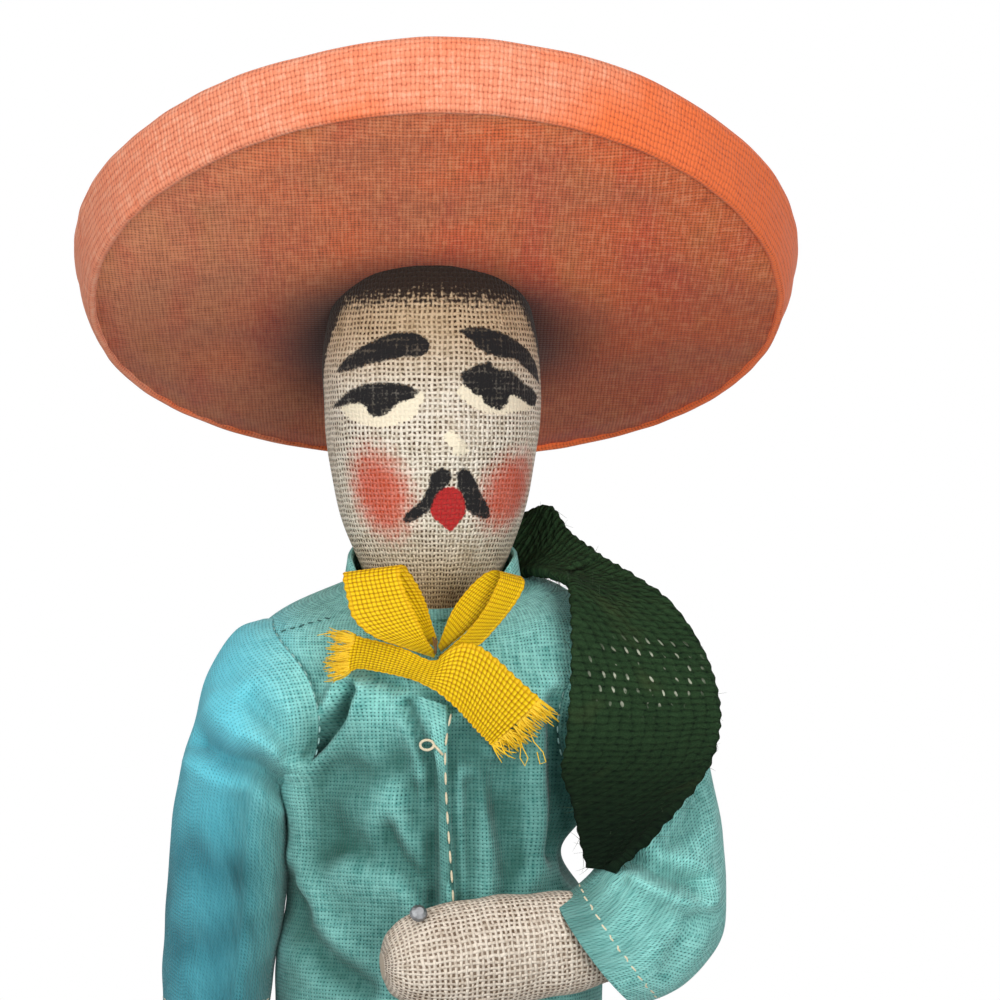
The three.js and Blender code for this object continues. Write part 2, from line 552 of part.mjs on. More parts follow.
for (const [side, name] of [[-1, 'right'], [1, 'left']]) {
  const frames = armFrames(side);
  const { shoulder, elbow, upper, lower, tip } = frames;
  const across = X_AXIS.clone().cross(upper).normalize();
  const facing = upper.clone().cross(across).multiplyScalar(side).normalize();
  const armEnd = UPPER_ARM - ELBOW_R - LIMB_END;
  const armRows = limbRows(shoulder, upper, facing, across, [
    ...ballEnd(SHOULDER_R), [UPPER_ARM * 0.35, ARM_R, ARM_R],
    [UPPER_ARM * 0.65, ARM_R * 0.93, ARM_R * 0.93], [armEnd, ELBOW_R, ELBOW_R]]);
  const boreStart = along(shoulder, upper, BORE_R * 2 + GAP);
  const armBore = rod(boreStart, along(shoulder, upper, UPPER_ARM), BORE_R);
  const swingBore = rod(shoulderLine(-FAR), shoulderLine(FAR), BORE_R);
  const sleeveRoom = skin(sleeveRows(side, frames, SLEEVE_WALL + GAP));
  addMesh(`upper_arm_${name}`, cut(keep(skin(armRows), sleeveRoom), armBore, swingBore), GAUZE);
  const armWire = rod(along(boreStart, upper, GAP), along(shoulder, upper, armEnd), WIRE_R);
  addMesh(`upper_arm_wire_${name}`, armWire, STEEL);

  const handAcross = across.clone().addScaledVector(lower, -across.dot(lower)).normalize();
  const handFacing = lower.clone().cross(handAcross).multiplyScalar(side).normalize();
  const handRows = limbRows(elbow, lower, handFacing, handAcross, [
    ...ballEnd(ELBOW_R), [FOREARM * 0.14, ELBOW_R + GAP, ELBOW_R + GAP],
    [FOREARM * 0.3, HAND_A * 0.9, HAND_B], [FOREARM * 0.6, HAND_A, HAND_B],
    [FOREARM * 0.85, HAND_A * 0.92, HAND_B * 0.9],
    [FOREARM * 0.96, HAND_A * 0.65, HAND_B * 0.6], [FOREARM, HAND_A * 0.3, HAND_B * 0.25]]);
  const wristWire = FOREARM * 0.75;
  const boreTop = along(elbow, lower, -ELBOW_R * 2);
  const cutters = [rod(boreTop, along(elbow, lower, wristWire), BORE_R)];
  if (side > 0) {
    const pinBase = along(along(tip, lower, -FOREARM * 0.12), handFacing, -HAND_A * 0.5);
    const pinFace = along(pinBase, handAcross, -HAND_B * 0.86);
    const pinLine = (depth) => along(pinFace, handAcross, depth);
    const pinRow = ([depth, radius]) => ring(pinLine(depth), handFacing, lower, radius, radius, PIN_SIDES);
    const shank = [[PIN_LENGTH, PIN_SHANK_R], [-GAP + PIN_NECK, PIN_SHANK_R]];
    const dome = [
      [-GAP, PIN_HEAD_R], [-GAP - PIN_HEAD_R * 0.4, PIN_HEAD_R * 0.85],
      [-GAP - PIN_HEAD_R * 0.72, PIN_HEAD_R * 0.45],
    ];
    cutters.push(rod(pinLine(-HAND_B / 2), pinLine(PIN_LENGTH + GAP), PIN_SHANK_R + GAP));
    addMesh('hand_pin', skin([...shank, ...dome].map(pinRow)), STEEL);
  }
  addMesh(`forearm_${name}`, cut(skin(handRows), ...cutters), GAUZE);
  addMesh(`forearm_wire_${name}`,
    rod(along(elbow, lower, -ELBOW_R * 0.95), along(elbow, lower, wristWire - GAP), WIRE_R), STEEL);
  const sleeve = wall(sleeveRows(side, frames, 0), sleeveRows(side, frames, SLEEVE_WALL));
  addMesh(`sleeve_${name}`, sleeve, TURQUOISE);
}

// Legs: thigh and shin on straight wires, each foot in a sandal of one sole and one strap.
// Foot stations are [share of the sole from the ankle back or forward, share of the sole's
// width, lowest and highest share of the foot's height].
const FOOT_SHAPE = [
  [0.234, 0.185, 0.06, 0.5], [0.125, 0.346, 0, 0.92], [0, 0.369, 0, 0.97], [-0.125, 0.385, 0, 0.82],
  [-0.312, 0.4, 0, 0.58], [-0.531, 0.385, 0, 0.42], [-0.641, 0.231, 0.05, 0.3],
];
function footRows(side, outset) {
  return FOOT_SHAPE.map(([back, wide, low, high]) => {
    const middle = FOOT_Z + (FOOT_H * (low + high)) / 2;
    const center = vec(side * LEG_X, back * SOLE_LENGTH, middle);
    const b = (FOOT_H * (high - low)) / 2;
    return ring(center, X_AXIS, Z_AXIS, wide * SOLE_W + outset, b + outset, LIMB_SIDES);
  });
}
function soleShape() {
  const outline = new THREE.Shape();
  const toe = HEEL_BACK - SOLE_LENGTH;
  const heelR = SOLE_W * 0.42;
  const toeR = SOLE_W / 2;
  outline.moveTo(-heelR, HEEL_BACK - heelR);
  outline.absarc(0, HEEL_BACK - heelR, heelR, Math.PI, 0, true);
  outline.lineTo(toeR, toe + toeR);
  outline.absarc(0, toe + toeR, toeR, 0, -Math.PI, true);
  return outline;
}
for (const [side, name] of [[-1, 'right'], [1, 'left']]) {
  const hip = vec(side * LEG_X, NECK_Y, HIP_Z);
  const knee = vec(side * LEG_X, NECK_Y, KNEE_Z);
  const down = vec(0, 0, -1);
  const thighEnd = THIGH - KNEE_R - LIMB_END;
  const thighRows = limbRows(hip, down, X_AXIS, Y_AXIS, [
    ...ballEnd(HIP_BALL_R), [THIGH * 0.3, THIGH_R, THIGH_R],
    [THIGH * 0.65, THIGH_R * 0.87, THIGH_R * 0.87], [thighEnd, KNEE_R, KNEE_R]]);
  const boreStart = along(hip, down, BORE_R * 2 + GAP);
  const thighBore = rod(boreStart, along(hip, down, THIGH), BORE_R);
  const swingBore = rod(hipLine(-FAR), hipLine(FAR), BORE_R);
  addMesh(`thigh_${name}`, cut(skin(thighRows), thighBore, swingBore), GAUZE);
  const thighWire = rod(along(boreStart, down, GAP), along(hip, down, thighEnd), WIRE_R);
  addMesh(`thigh_wire_${name}`, thighWire, STEEL);

  const shinEnd = SHIN - LIMB_END;
  const shinRows = limbRows(knee, down, X_AXIS, Y_AXIS, [
    ...ballEnd(KNEE_R), [SHIN * 0.3, CALF_R, CALF_R],
    [SHIN * 0.75, ANKLE_R, ANKLE_R], [shinEnd, ANKLE_R, ANKLE_R]]);
  const ankleWire = shinEnd - GAP * 2;
  const shinBore = rod(along(knee, down, -KNEE_R * 2), along(knee, down, ankleWire), BORE_R);
  addMesh(`shin_${name}`, cut(skin(shinRows), shinBore), GAUZE);
  const shinWire = rod(along(knee, down, -KNEE_R * 0.95), along(knee, down, ankleWire - GAP), WIRE_R);
  addMesh(`shin_wire_${name}`, shinWire, STEEL);

  const foot = skin(footRows(side, 0));
  addMesh(`foot_${name}`, foot, GAUZE);
  const soleForm = { depth: SOLE_T, bevelEnabled: false, curveSegments: 8 };
  const sole = new THREE.ExtrudeGeometry(soleShape(), soleForm);
  sole.translate(side * LEG_X, 0, 0);
  addMesh(`sole_${name}`, sole, LEATHER);
  const strapSpan = block(vec(-FAR, STRAP_BACK - STRAP_W, FOOT_Z), vec(FAR, STRAP_BACK, FAR));
  const strapRing = cut(skin(footRows(side, GAP + STRAP_T)), skin(footRows(side, GAP)));
  addMesh(`sandal_strap_${name}`, keep(strapRing, strapSpan), LEATHER);
}

// Serape: a long woollen strip from the front of the left shoulder, round behind the neck and
// down the back. Its two long edges are set by points relative to the base of the neck.
const serapeInner = [
  [18.2, -17, -30], [18.3, -16.7, -23], [18.3, -16.2, -15], [18, -14, -6], [17.2, -9, 3], [15.4, 0, 9.5],
  [10.5, 11, 13], [1, 17.3, 12.5], [-8, 17.4, 5], [-13, 15.6, -8], [-15, 15.2, -26], [-15, 15.4, -46],
];
const serapeOuter = [
  [26, -21.5, -32.5], [37, -20.8, -21], [38.4, -18.6, -12], [36.6, -14.6, -4], [33.5, -8, 2.5],
  [30, 1, 8.5], [23, 13, 14.5], [13, 19.6, 18], [6, 20.4, 10], [6, 16.6, -6], [6.5, 15.8, -26],
  [7, 15.8, -46],
];
const SERAPE_STEPS = 24;
const SERAPE_BULGE = 0.8;
function smoothEdge(points) {
  const curve = new THREE.CatmullRomCurve3(points.map(([x, y, z]) => vec(x, y, NECK_Z + z)));
  return curve.getPoints(SERAPE_STEPS);
}
const serapeEdges = [smoothEdge(serapeInner), smoothEdge(serapeOuter)];
addMesh('serape', strip(...serapeEdges, SERAPE_T, 5, SERAPE_BULGE), GREEN_WOOL);

// Bow: a ribbon tied in two loops and two tails at the neckline, caught by one stitch.
const knot = vec(KNOT_X, KNOT_Y, NECK_Z - KNOT_DROP);
const RIBBON_PINCH = 0.36;
function ribbon(out, stations) {
  const side = vec(-out.z, 0, out.x);
  const edge = (sign) => stations.map(([distance, depth, share]) =>
    along(along(along(knot, out, distance), Y_AXIS, depth), side, (sign * share * RIBBON_W) / 2));
  return strip(edge(-1), edge(1), RIBBON_T, 2);
}
const knotRows = [-0.95, -0.6, 0, 0.6, 0.95].map((share) => {
  const round = Math.sqrt(1 - share ** 2) * KNOT_R;
  return ring(along(knot, Y_AXIS, share * KNOT_R), X_AXIS, Z_AXIS, round, round * 1.1, 12);
});
addMesh('tie_knot', skin(knotRows), YELLOW);
const KNOT_CLEAR = KNOT_R * 1.1 + GAP;
for (const [name, angle, length] of [['right', 128, 11.5], ['left', 52, 12.5]]) {
  const radians = THREE.MathUtils.degToRad(angle);
  const out = vec(Math.cos(radians), 0, Math.sin(radians));
  addMesh(`tie_loop_${name}`, ribbon(out, [
    [KNOT_CLEAR, -0.6, RIBBON_PINCH], [length * 0.5, -2.6, 0.85], [length * 0.85, -2.4, 1],
    [length, -0.6, 1], [length * 0.85, 1, 1], [length * 0.5, 1, 0.85],
    [KNOT_CLEAR, 0.6, RIBBON_PINCH]]), YELLOW);
}
for (const [name, angle, length] of [['right', 183, 13.5], ['left', -42, 18.5]]) {
  const radians = THREE.MathUtils.degToRad(angle);
  const out = vec(Math.cos(radians), 0, Math.sin(radians));
  addMesh(`tie_tail_${name}`, ribbon(out, [
    [KNOT_CLEAR, 1.8, RIBBON_PINCH], [length * 0.6, 2.2, 1], [length, 1.6, 1]]), YELLOW);
}
const STITCH_R = 0.3;
const STITCH_SIDES = 6;
const stitchFace = along(knot, Y_AXIS, -KNOT_R - GAP - STITCH_R);
const stitchEnd = (side) => along(stitchFace, X_AXIS, side * STITCH_R * 2);
addMesh('tie_stitch', rod(stitchEnd(-1), stitchEnd(1), STITCH_R, STITCH_SIDES), LEATHER);

// The origin is on the floor under the middle of the doll's outline.
const outline = new THREE.Box3().setFromObject(doll);
const middle = outline.getCenter(new THREE.Vector3());
doll.position.set(-middle.x, -middle.y, -outline.min.z);

export default doll;
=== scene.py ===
"""A cloth doll as it is dressed: each piece of cloth, paint and thread is drawn round its frame."""
import math

import bpy
import numpy as np
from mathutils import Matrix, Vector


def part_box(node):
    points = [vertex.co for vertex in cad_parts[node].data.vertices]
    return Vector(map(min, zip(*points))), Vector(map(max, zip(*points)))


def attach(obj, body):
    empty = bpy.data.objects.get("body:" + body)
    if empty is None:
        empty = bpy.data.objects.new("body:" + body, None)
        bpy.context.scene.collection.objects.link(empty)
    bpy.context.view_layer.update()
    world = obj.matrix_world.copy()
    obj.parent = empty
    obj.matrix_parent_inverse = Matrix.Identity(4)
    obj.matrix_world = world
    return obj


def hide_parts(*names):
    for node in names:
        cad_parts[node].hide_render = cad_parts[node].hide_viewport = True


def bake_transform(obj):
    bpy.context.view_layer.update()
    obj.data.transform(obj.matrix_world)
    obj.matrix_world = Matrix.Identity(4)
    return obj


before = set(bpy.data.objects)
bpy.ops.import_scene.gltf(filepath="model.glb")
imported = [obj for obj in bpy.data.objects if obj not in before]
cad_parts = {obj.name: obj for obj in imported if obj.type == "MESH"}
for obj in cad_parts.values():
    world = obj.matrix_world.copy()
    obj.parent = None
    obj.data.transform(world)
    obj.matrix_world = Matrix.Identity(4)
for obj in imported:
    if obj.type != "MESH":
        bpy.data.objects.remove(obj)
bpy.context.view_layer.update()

# Camera: a level portrait view from in front, hat to waist, in a picture 1000 wide and high.
# Millimetres are counted from the floor under the doll, which faces -Y, its left arm on +X.
NECK = np.array([-1.2, 2.0, 176.0])
spine = np.mean([list(corner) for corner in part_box("spine_wire")], axis=0) * 1000
STAND = np.array([*(spine - NECK)[:2], 0.0])
EYE = np.array([8.57, -450.0, 194.43])
PICTURE_W = 142.86
SIDE = 1000


def placed(points):
    """Points of the doll in millimetres, given in the frame in metres."""
    return (np.asarray(points, float) + STAND) / 1000


def together(*parts):
    """Numbers and arrays as the parts of points, spread to the shape that they share."""
    return np.stack(np.broadcast_arrays(*parts), -1)


def pixel(depth):
    """The millimetres that a pixel of the picture covers at a depth."""
    return (np.asarray(depth, float) - EYE[1]) / -EYE[1] * PICTURE_W / SIDE


def seen(across, down, depth):
    """The point at that depth which shows at that place of the picture."""
    aside, under = np.asarray(across) - SIDE / 2, np.asarray(down) - SIDE / 2
    return together(EYE[0] + aside * pixel(depth), depth, EYE[2] - under * pixel(depth))


def shown(points):
    """Where points show in the picture, across and down."""
    return (points[..., ::2] - EYE[::2]) * [1, -1] / pixel(points[..., 1])[..., None] + SIDE / 2


lens = bpy.data.cameras.new("camera")
lens.lens = lens.sensor_width * -EYE[1] / PICTURE_W
lens.clip_start = 0.01
camera = bpy.data.objects.new("camera", lens)
camera.location = placed(EYE)
camera.rotation_euler = (math.pi / 2, 0, 0)
bpy.context.collection.objects.link(camera)
bpy.context.scene.camera = camera
bpy.context.scene.view_settings.view_transform = "Standard"

# Studio: a round of pale floor in a white room, lit by soft lamps in front, on the left, above and
# behind. The white is only what the camera and reflections see; the room itself lights faintly.
FLOOR_R = 520
FLOOR_SIDES = 96
ROOM_LIGHT = 0.12
PAPER, PAPER_SEEN, PAPER_GLOW, UNLIT = ((grey, grey, grey, 1) for grey in (0.4, 0.75, 0.6, 0))


def srgb(red, green, blue):
    """A colour of 0 to 255 as the eye sees it, as amounts of light."""
    level = np.array([red, green, blue]) / 255
    light = np.where(level <= 0.04045, level / 12.92, ((level + 0.055) / 1.055) ** 2.4)
    return (*light.tolist(), 1.0)


def surface(name, grid, uv=None, material=None, around=False, loop=False, ends=(False, False), flip=False):
    """A skin of quads through rows of points in millimetres. around joins each row into a ring,
    loop joins the last row to the first, and ends closes the first or last ring by a fan."""
    rows, columns = grid.shape[:2]
    points = grid.reshape(-1, 3)
    index = np.pad(np.arange(rows * columns).reshape(rows, columns), ((0, loop), (0, around)), mode="wrap")
    uv = np.zeros((*index.shape, 2)) if uv is None else uv

    def quads(table):
        return np.stack([table[:-1, :-1], table[:-1, 1:], table[1:, 1:], table[1:, :-1]], -1).reshape(-1, 4)

    faces, spots = [quads(index)], [uv.reshape(-1, 2)[quads(np.arange(index.size).reshape(index.shape))]]
    for row, wanted in ((0, ends[0]), (-1, ends[1])):
        if wanted:
            here, after = index[row, :-1], index[row, 1:]
            points = np.vstack([points, grid[row].mean(axis=0)])
            hub = np.full(len(here), len(points) - 1)
            faces.append(np.stack([after, here, hub] if row == 0 else [here, after, hub], -1))
            spots.append(np.broadcast_to(uv[row].mean(axis=0), (len(hub), 3, 2)))
    if flip:
        faces, spots = [part[:, ::-1] for part in faces], [part[:, ::-1] for part in spots]
    totals = np.concatenate([np.full(len(part), part.shape[1]) for part in faces])
    loops = np.concatenate([part.ravel() for part in faces])
    spots = np.concatenate([part.reshape(-1, 2) for part in spots])
    return meshed(name, points, loops, totals, spots, material)


def meshed(name, points, loops, totals, uv, material):
    """A smooth mesh object from points in millimetres and the corners of its faces."""
    mesh = bpy.data.meshes.new(name)
    mesh.vertices.add(len(points))
    mesh.vertices.foreach_set("co", placed(points).astype(np.float32).ravel())
    mesh.loops.add(len(loops))
    mesh.loops.foreach_set("vertex_index", loops.astype(np.int32))
    mesh.polygons.add(len(totals))
    mesh.polygons.foreach_set("loop_start", (np.cumsum(totals) - totals).astype(np.int32))
    mesh.polygons.foreach_set("loop_total", totals.astype(np.int32))
    mesh.uv_layers.new(name="UVMap").data.foreach_set("uv", uv.astype(np.float32).ravel())
    mesh.update(calc_edges=True)
    mesh.shade_smooth()
    mesh.materials.append(material)
    made = bpy.data.objects.new(name, mesh)
    bpy.context.collection.objects.link(made)
    return made


class Val:
    """A shader value that is reckoned with like a number; make() adds any other node."""

    def __init__(self, tree, socket):
        self.tree, self.socket = tree, socket

    def make(self, kind, inputs, output=0, **settings):
        """A node of that kind, fed by a dict of inputs; gives one of its outputs."""
        node = self.tree.nodes.new("ShaderNode" + kind)
        for key, value in settings.items():
            setattr(node, key, value)
        for key, value in inputs.items():
            if isinstance(value, Val):
                self.tree.links.new(value.socket, node.inputs[key])
            else:
                node.inputs[key].default_value = value
        return Val(self.tree, node.outputs[output])

    def math(self, operation, *others):
        return self.make("Math", dict(enumerate((self, *others))), operation=operation)

    def __add__(self, other):
        return self.math("ADD", other)

    def __mul__(self, other):
        return self.math("MULTIPLY", other)

    def __sub__(self, other):
        return self.math("SUBTRACT", other)

    def __rsub__(self, other):
        return self.math("MULTIPLY_ADD", -1.0, other)

    def __truediv__(self, other):
        return self.math("DIVIDE", other)

    def __pow__(self, other):
        return self.math("POWER", other)

    __radd__, __rmul__ = __add__, __mul__

    def rise(self, low, high):
        """Nought below low, one above high and a smooth step between."""
        ends = {"Value": self, "From Min": low, "From Max": high}
        return self.make("MapRange", ends, interpolation_type="SMOOTHSTEP")

    def between(self, low, high):
        """Two colours mixed, this being the share of the second."""
        return self.make("MixRGB", {0: self, 1: low, 2: high})

    def tint(self, top, share):
        """This colour with a share of another over it."""
        return self.make("Mix", {0: share, 6: self, 7: top}, output=2, data_type="RGBA")

    def shaded(self, by, share):
        """This colour darkened by another, for a share of it."""
        return self.make("MixRGB", {0: share, 1: self, 2: by}, blend_type="MULTIPLY")

    def part(self, axis):
        """One of the three parts of this place."""
        return self.make("SeparateXYZ", {0: self}, axis)

    def stretched(self, by):
        """This place with each part of it made that many times as long."""
        return self.make("VectorMath", {0: self, 1: by}, operation="MULTIPLY")

    def noise(self, scale, detail=2.0):
        """Cloudy noise at this place, mostly 0.3 to 0.7."""
        return self.make("TexNoise", {"Vector": self, "Scale": scale, "Detail": detail})


def whereabouts(tree):
    """The place in the frame, in metres."""
    return Val(tree, tree.nodes.new("ShaderNodeTexCoord").outputs["Object"])


def new_material(name, roughness=0.9, solid=False, **sockets):
    """A material, its surface shader and the place in millimetres, on its cloth or in a solid."""
    material = bpy.data.materials.new(name)
    material.use_nodes = True
    tree = material.node_tree
    shader = tree.nodes["Principled BSDF"]
    shader.inputs["Roughness"].default_value = roughness
    for key, value in sockets.items():
        shader.inputs[key.replace("_", " ")].default_value = value
    if solid:
        return material, shader, whereabouts(tree).stretched((1000.0, 1000.0, 1000.0))
    return material, shader, Val(tree, tree.nodes.new("ShaderNodeUVMap").outputs[0])


def put_on(shader, colour, height=None, depth=0.0):
    """Gives a shader its colour and, by bumps that many millimetres high, its relief."""
    tree = colour.tree
    tree.links.new(colour.socket, shader.inputs["Base Color"])
    if height is not None:
        bump = colour.make("Bump", {"Height": height, "Distance": depth / 1000, "Strength": 1.0})
        tree.links.new(bump.socket, shader.inputs["Normal"])


def seen_white(tree):
    """One for the rays of the camera, of reflections and of clear things, and nought for others."""
    path = tree.nodes.new("ShaderNodeLightPath")
    camera_ray, glossy_ray, clear_ray = (
        Val(tree, path.outputs[f"Is {kind} Ray"]) for kind in ("Camera", "Glossy", "Transmission"))
    return camera_ray.math("MAXIMUM", glossy_ray).math("MAXIMUM", clear_ray)


def lamp(name, at, aim, size, power):
    """A square soft lamp at one point, turned to another."""
    light = bpy.data.lights.new(name, "AREA")
    light.size, light.energy = size, power
    made = bpy.data.objects.new(name, light)
    made.rotation_mode = "QUATERNION"
    made.location = placed(at) - placed(aim)
    made.rotation_quaternion = made.location.to_track_quat("Z", "Y")
    made.location = placed(at)
    bpy.context.collection.objects.link(made)


paper, paper_shader, paper_place = new_material("paper", roughness=1.0, Emission_Strength=1.0)
paper_rays = seen_white(paper_place.tree)
put_on(paper_shader, paper_rays.between(PAPER, PAPER_SEEN))
paper_glow = paper_rays.between(UNLIT, PAPER_GLOW)
paper_rays.tree.links.new(paper_glow.socket, paper_shader.inputs["Emission Color"])
floor_turn = np.linspace(0, 2 * np.pi, FLOOR_SIDES + 1)[:-1]
floor_r = np.array([[1.0], [FLOOR_R]])
floor_grid = together(floor_r * np.cos(floor_turn), floor_r * np.sin(floor_turn), 0.0)
surface("floor", floor_grid, material=paper, around=True, ends=(True, False))
lamp("lamp_front", (240, -620, 215), (0, 0, 195), 0.3, 2.45)
lamp("lamp_left", (-430, -480, 330), (0, 0, 185), 0.35, 1.85)
lamp("lamp_above", (0, -330, 720), (0, 0, 185), 0.6, 1.5)
lamp("lamp_behind", (160, 640, 420), (0, 0, 150), 0.5, 2.4)
room = bpy.data.worlds.new("room")
room.use_nodes = True
room_light = room.node_tree.nodes["Background"]
room_light.inputs["Color"].default_value = (1, 1, 1, 1)
room_rays = seen_white(room.node_tree) * (1 - ROOM_LIGHT) + ROOM_LIGHT
room.node_tree.links.new(room_rays.socket, room_light.inputs["Strength"])
bpy.context.scene.world = room

# Armature: soft steel wires inside the cloth. They are the frame's own solids, finished in dull
# steel, as is the round-headed pin that is pushed through the left hand.


def mottled(name, light, dark, roughness=0.8, scale=2.0, detail=3.0, steep=True, dents=0.0, **settings):
    """A finish mottled between two colours, and dented by that many millimetres."""
    material, shader, place = new_material(name, roughness, **settings)
    share = place.noise(scale, detail)
    colour = (share.rise(0.3, 0.7) if steep else share).between(dark, light)
    put_on(shader, colour, place.noise(2.5, 3.0) if dents else None, dents)
    return material


def refinish(material, *nodes):
    """Gives solids of the frame a finish of their own."""
    for node in nodes:
        finishes = bpy.data.objects[node].data.materials
        finishes.clear()
        finishes.append(material)


steel = mottled("steel_wire", srgb(158, 160, 162), srgb(92, 93, 95), 0.42, 0.9, 2.0, steep=False, solid=True,
                Metallic=1.0)
limbs = ("upper_arm", "forearm", "thigh", "shin")
refinish(steel, "spine_wire", "shoulder_wire", "hip_wire", "hand_pin",
         *(f"{limb}_wire_{side}" for limb in limbs for side in ("right", "left")))

# Head: a bag of open gauze drawn over a ball of wadding and gathered at the neck. Hair, brows,
# eyes, cheeks, moustache and lips are painted on it, thin enough for the weave to show. Each
# painted shape is an outline of places in the picture.
HEAD_FOOT = 176.45
HEAD_H = 59.0
HEAD_HALF = 15.6
HEAD_DEPTH = 0.93
HEAD_ROWS, HEAD_COLUMNS = 230, 240
HEAD_UP = [0, 0.05, 0.13, 0.24, 0.38, 0.51, 0.62, 0.8, 0.92, 1]
HEAD_WIDE = [0.43, 0.475, 0.632, 0.806, 0.934, 0.992, 1, 0.885, 0.718, 0.449]
GAUZE_PITCH = 0.74
SLUB = 0.16
CREAM = (srgb(206, 192, 168), srgb(252, 243, 226))
# Darker towards the chin, and painted shadow of the hat's brim over the brow.
BROWN_CHIN_AND_BRIM_SHADOW = srgb(204, 178, 138)
HOLE = srgb(76, 56, 40)
BROW_RIGHT = [(337, 372), (344, 361), (360, 348), (378, 339), (394, 333), (413, 333), (425, 338),
              (429, 344), (428, 352), (418, 356), (404, 356), (390, 359), (371, 363), (352, 370)]
BROW_LEFT = [(459, 331), (470, 328), (484, 328), (500, 333), (517, 342), (528, 351), (536, 366),
             (539, 384), (534, 377), (526, 368), (513, 358), (498, 357), (486, 353), (476, 347),
             (473, 341), (466, 336)]
EYE_RIGHT = [(332, 408), (336, 403), (345, 396), (351, 390), (364, 385), (380, 383), (399, 384),
             (411, 387), (418, 392), (413, 397), (404, 401), (396, 403), (390, 410), (381, 415),
             (375, 417), (368, 413), (365, 407), (361, 403), (352, 403), (342, 405)]
EYE_LEFT = [(461, 373), (469, 370), (476, 366), (484, 364), (489, 361), (492, 367), (501, 371),
            (509, 371), (517, 377), (524, 384), (532, 389), (536, 396), (534, 406), (529, 405),
            (519, 397), (512, 394), (509, 397), (508, 402), (501, 410), (493, 407), (485, 403),
            (483, 396), (476, 394), (470, 389), (464, 384), (463, 379)]
WHITE_RIGHT = [(340, 406), (352, 401), (364, 402), (400, 398), (418, 391), (424, 394), (423, 401),
               (417, 407), (416, 415), (406, 421), (392, 425), (383, 427), (368, 425), (354, 421),
               (345, 415)]
WHITE_LEFT = [(457, 392), (461, 386), (468, 382), (480, 388), (508, 392), (520, 394), (532, 407),
              (527, 410), (517, 412), (508, 413), (498, 414), (486, 413), (475, 408), (465, 401)]
NOSE_DAB = [(444, 436), (451, 430), (455, 436), (463, 442), (468, 451), (463, 455), (453, 455),
            (452, 448), (446, 443)]
MOUSTACHE_RIGHT = [(403, 517), (411, 510), (422, 500), (429, 486), (432, 474), (442, 468), (449, 471),
                   (451, 480), (446, 486), (439, 491), (433, 500), (430, 510), (418, 518), (407, 523),
                   (403, 520)]
MOUSTACHE_LEFT = [(457, 473), (463, 468), (470, 472), (476, 484), (481, 495), (489, 508), (490, 517),
                  (482, 518), (472, 514), (466, 507), (463, 495), (458, 486)]
LIPS = [(431, 504), (436, 493), (444, 488), (453, 487), (462, 492), (466, 502), (465, 513), (458, 524),
        (451, 532), (444, 526), (434, 518), (430, 511)]
CHEEKS = [
    [(366, 446), (393, 540), (349, 500), (405, 492)],
    [(518, 450), (500, 532), (489, 496), (531, 487)],
]
CHEEK_EDGE = 3.6
HAIRLINE = [(-180, 194), (-120, 196), (-100, 201), (-86, 207), (-74, 215), (-60, 221.5), (-44, 221.5),
            (0, 222), (44, 221.5), (60, 221.5), (76, 217), (90, 210), (105, 203), (130, 197), (180, 194)]
PAINT = {
    "black": [BROW_RIGHT, BROW_LEFT, EYE_RIGHT, EYE_LEFT, MOUSTACHE_RIGHT, MOUSTACHE_LEFT],
    "white": [WHITE_RIGHT, WHITE_LEFT, NOSE_DAB],
    "red": [LIPS],
}
FACE_BUMPS = [((454, 446), (1.6, 3.2), 0.9), ((383, 402), (5.0, 3.5), -0.35),
              ((498, 396), (5.0, 3.5), -0.35), ((441, 330), (1.0, 7.0), 0.25)]


def smooth(at, places, values):
    """A smooth line through values at places: cubics whose slopes are those of the chords."""
    places, values = np.asarray(places, float), np.asarray(values, float)
    slopes = np.gradient(values, places, axis=0)
    i = np.clip(np.searchsorted(places, at) - 1, 0, len(places) - 2)
    shape = np.shape(at) + (1,) * (values.ndim - 1)
    run = (places[i + 1] - places[i]).reshape(shape)
    t = ((at - places[i]) / (places[i + 1] - places[i])).reshape(shape)
    rising = (values[i] * (1 + 2 * t) + run * slopes[i] * t) * (1 - t) ** 2
    return rising + (values[i + 1] * (3 - 2 * t) + run * slopes[i + 1] * (t - 1)) * t**2


def ease(value, low, high):
    """Nought below low, one above high and a smooth step between."""
    t = np.clip((value - low) / (high - low), 0, 1)
    return t * t * (3 - 2 * t)


def lengths(points):
    """How far along a line of points each of them is."""
    return np.concatenate([[0], np.cumsum(np.linalg.norm(np.diff(points, axis=0), axis=-1))])


def head_half(height):
    """Half the head's width at a height."""
    return HEAD_HALF * smooth(np.clip((height - HEAD_FOOT) / HEAD_H, 0, 1), HEAD_UP, HEAD_WIDE)


def on_head(spots):
    """Places in the picture as places on the head's cloth, round it and up it: the depth is
    guessed and mended until the point lies on the head."""
    spots = np.asarray(spots, float)
    depth = np.full(len(spots), NECK[1] - HEAD_HALF * HEAD_DEPTH)
    for _ in range(6):
        point = seen(*spots.T, depth)
        half = head_half(point[:, 2])
        turn = np.arcsin(np.clip((point[:, 0] - NECK[0]) / half, -0.999, 0.999))
        depth = NECK[1] - HEAD_DEPTH * half * np.cos(turn)
    return together(turn * HEAD_HALF, np.interp(point[:, 2], head_z, head_run))


def inside(points, outline):
    """How far each point lies inside an outline; negative outside it."""
    start, end = outline, np.roll(outline, -1, axis=0)
    edge = end - start
    rel = points[:, None] - start
    t = np.clip((rel * edge).sum(-1) / (edge**2).sum(-1), 0, 1)
    far = np.linalg.norm(rel - t[..., None] * edge, axis=-1).min(axis=1)
    spans = (start[:, 1] > points[:, None, 1]) != (end[:, 1] > points[:, None, 1])
    rise = np.where(edge[:, 1] == 0, 1e-9, edge[:, 1])
    left = rel[..., 0] < edge[:, 0] * rel[..., 1] / rise
    return np.where((spans & left).sum(axis=1) % 2 == 1, far, -far)


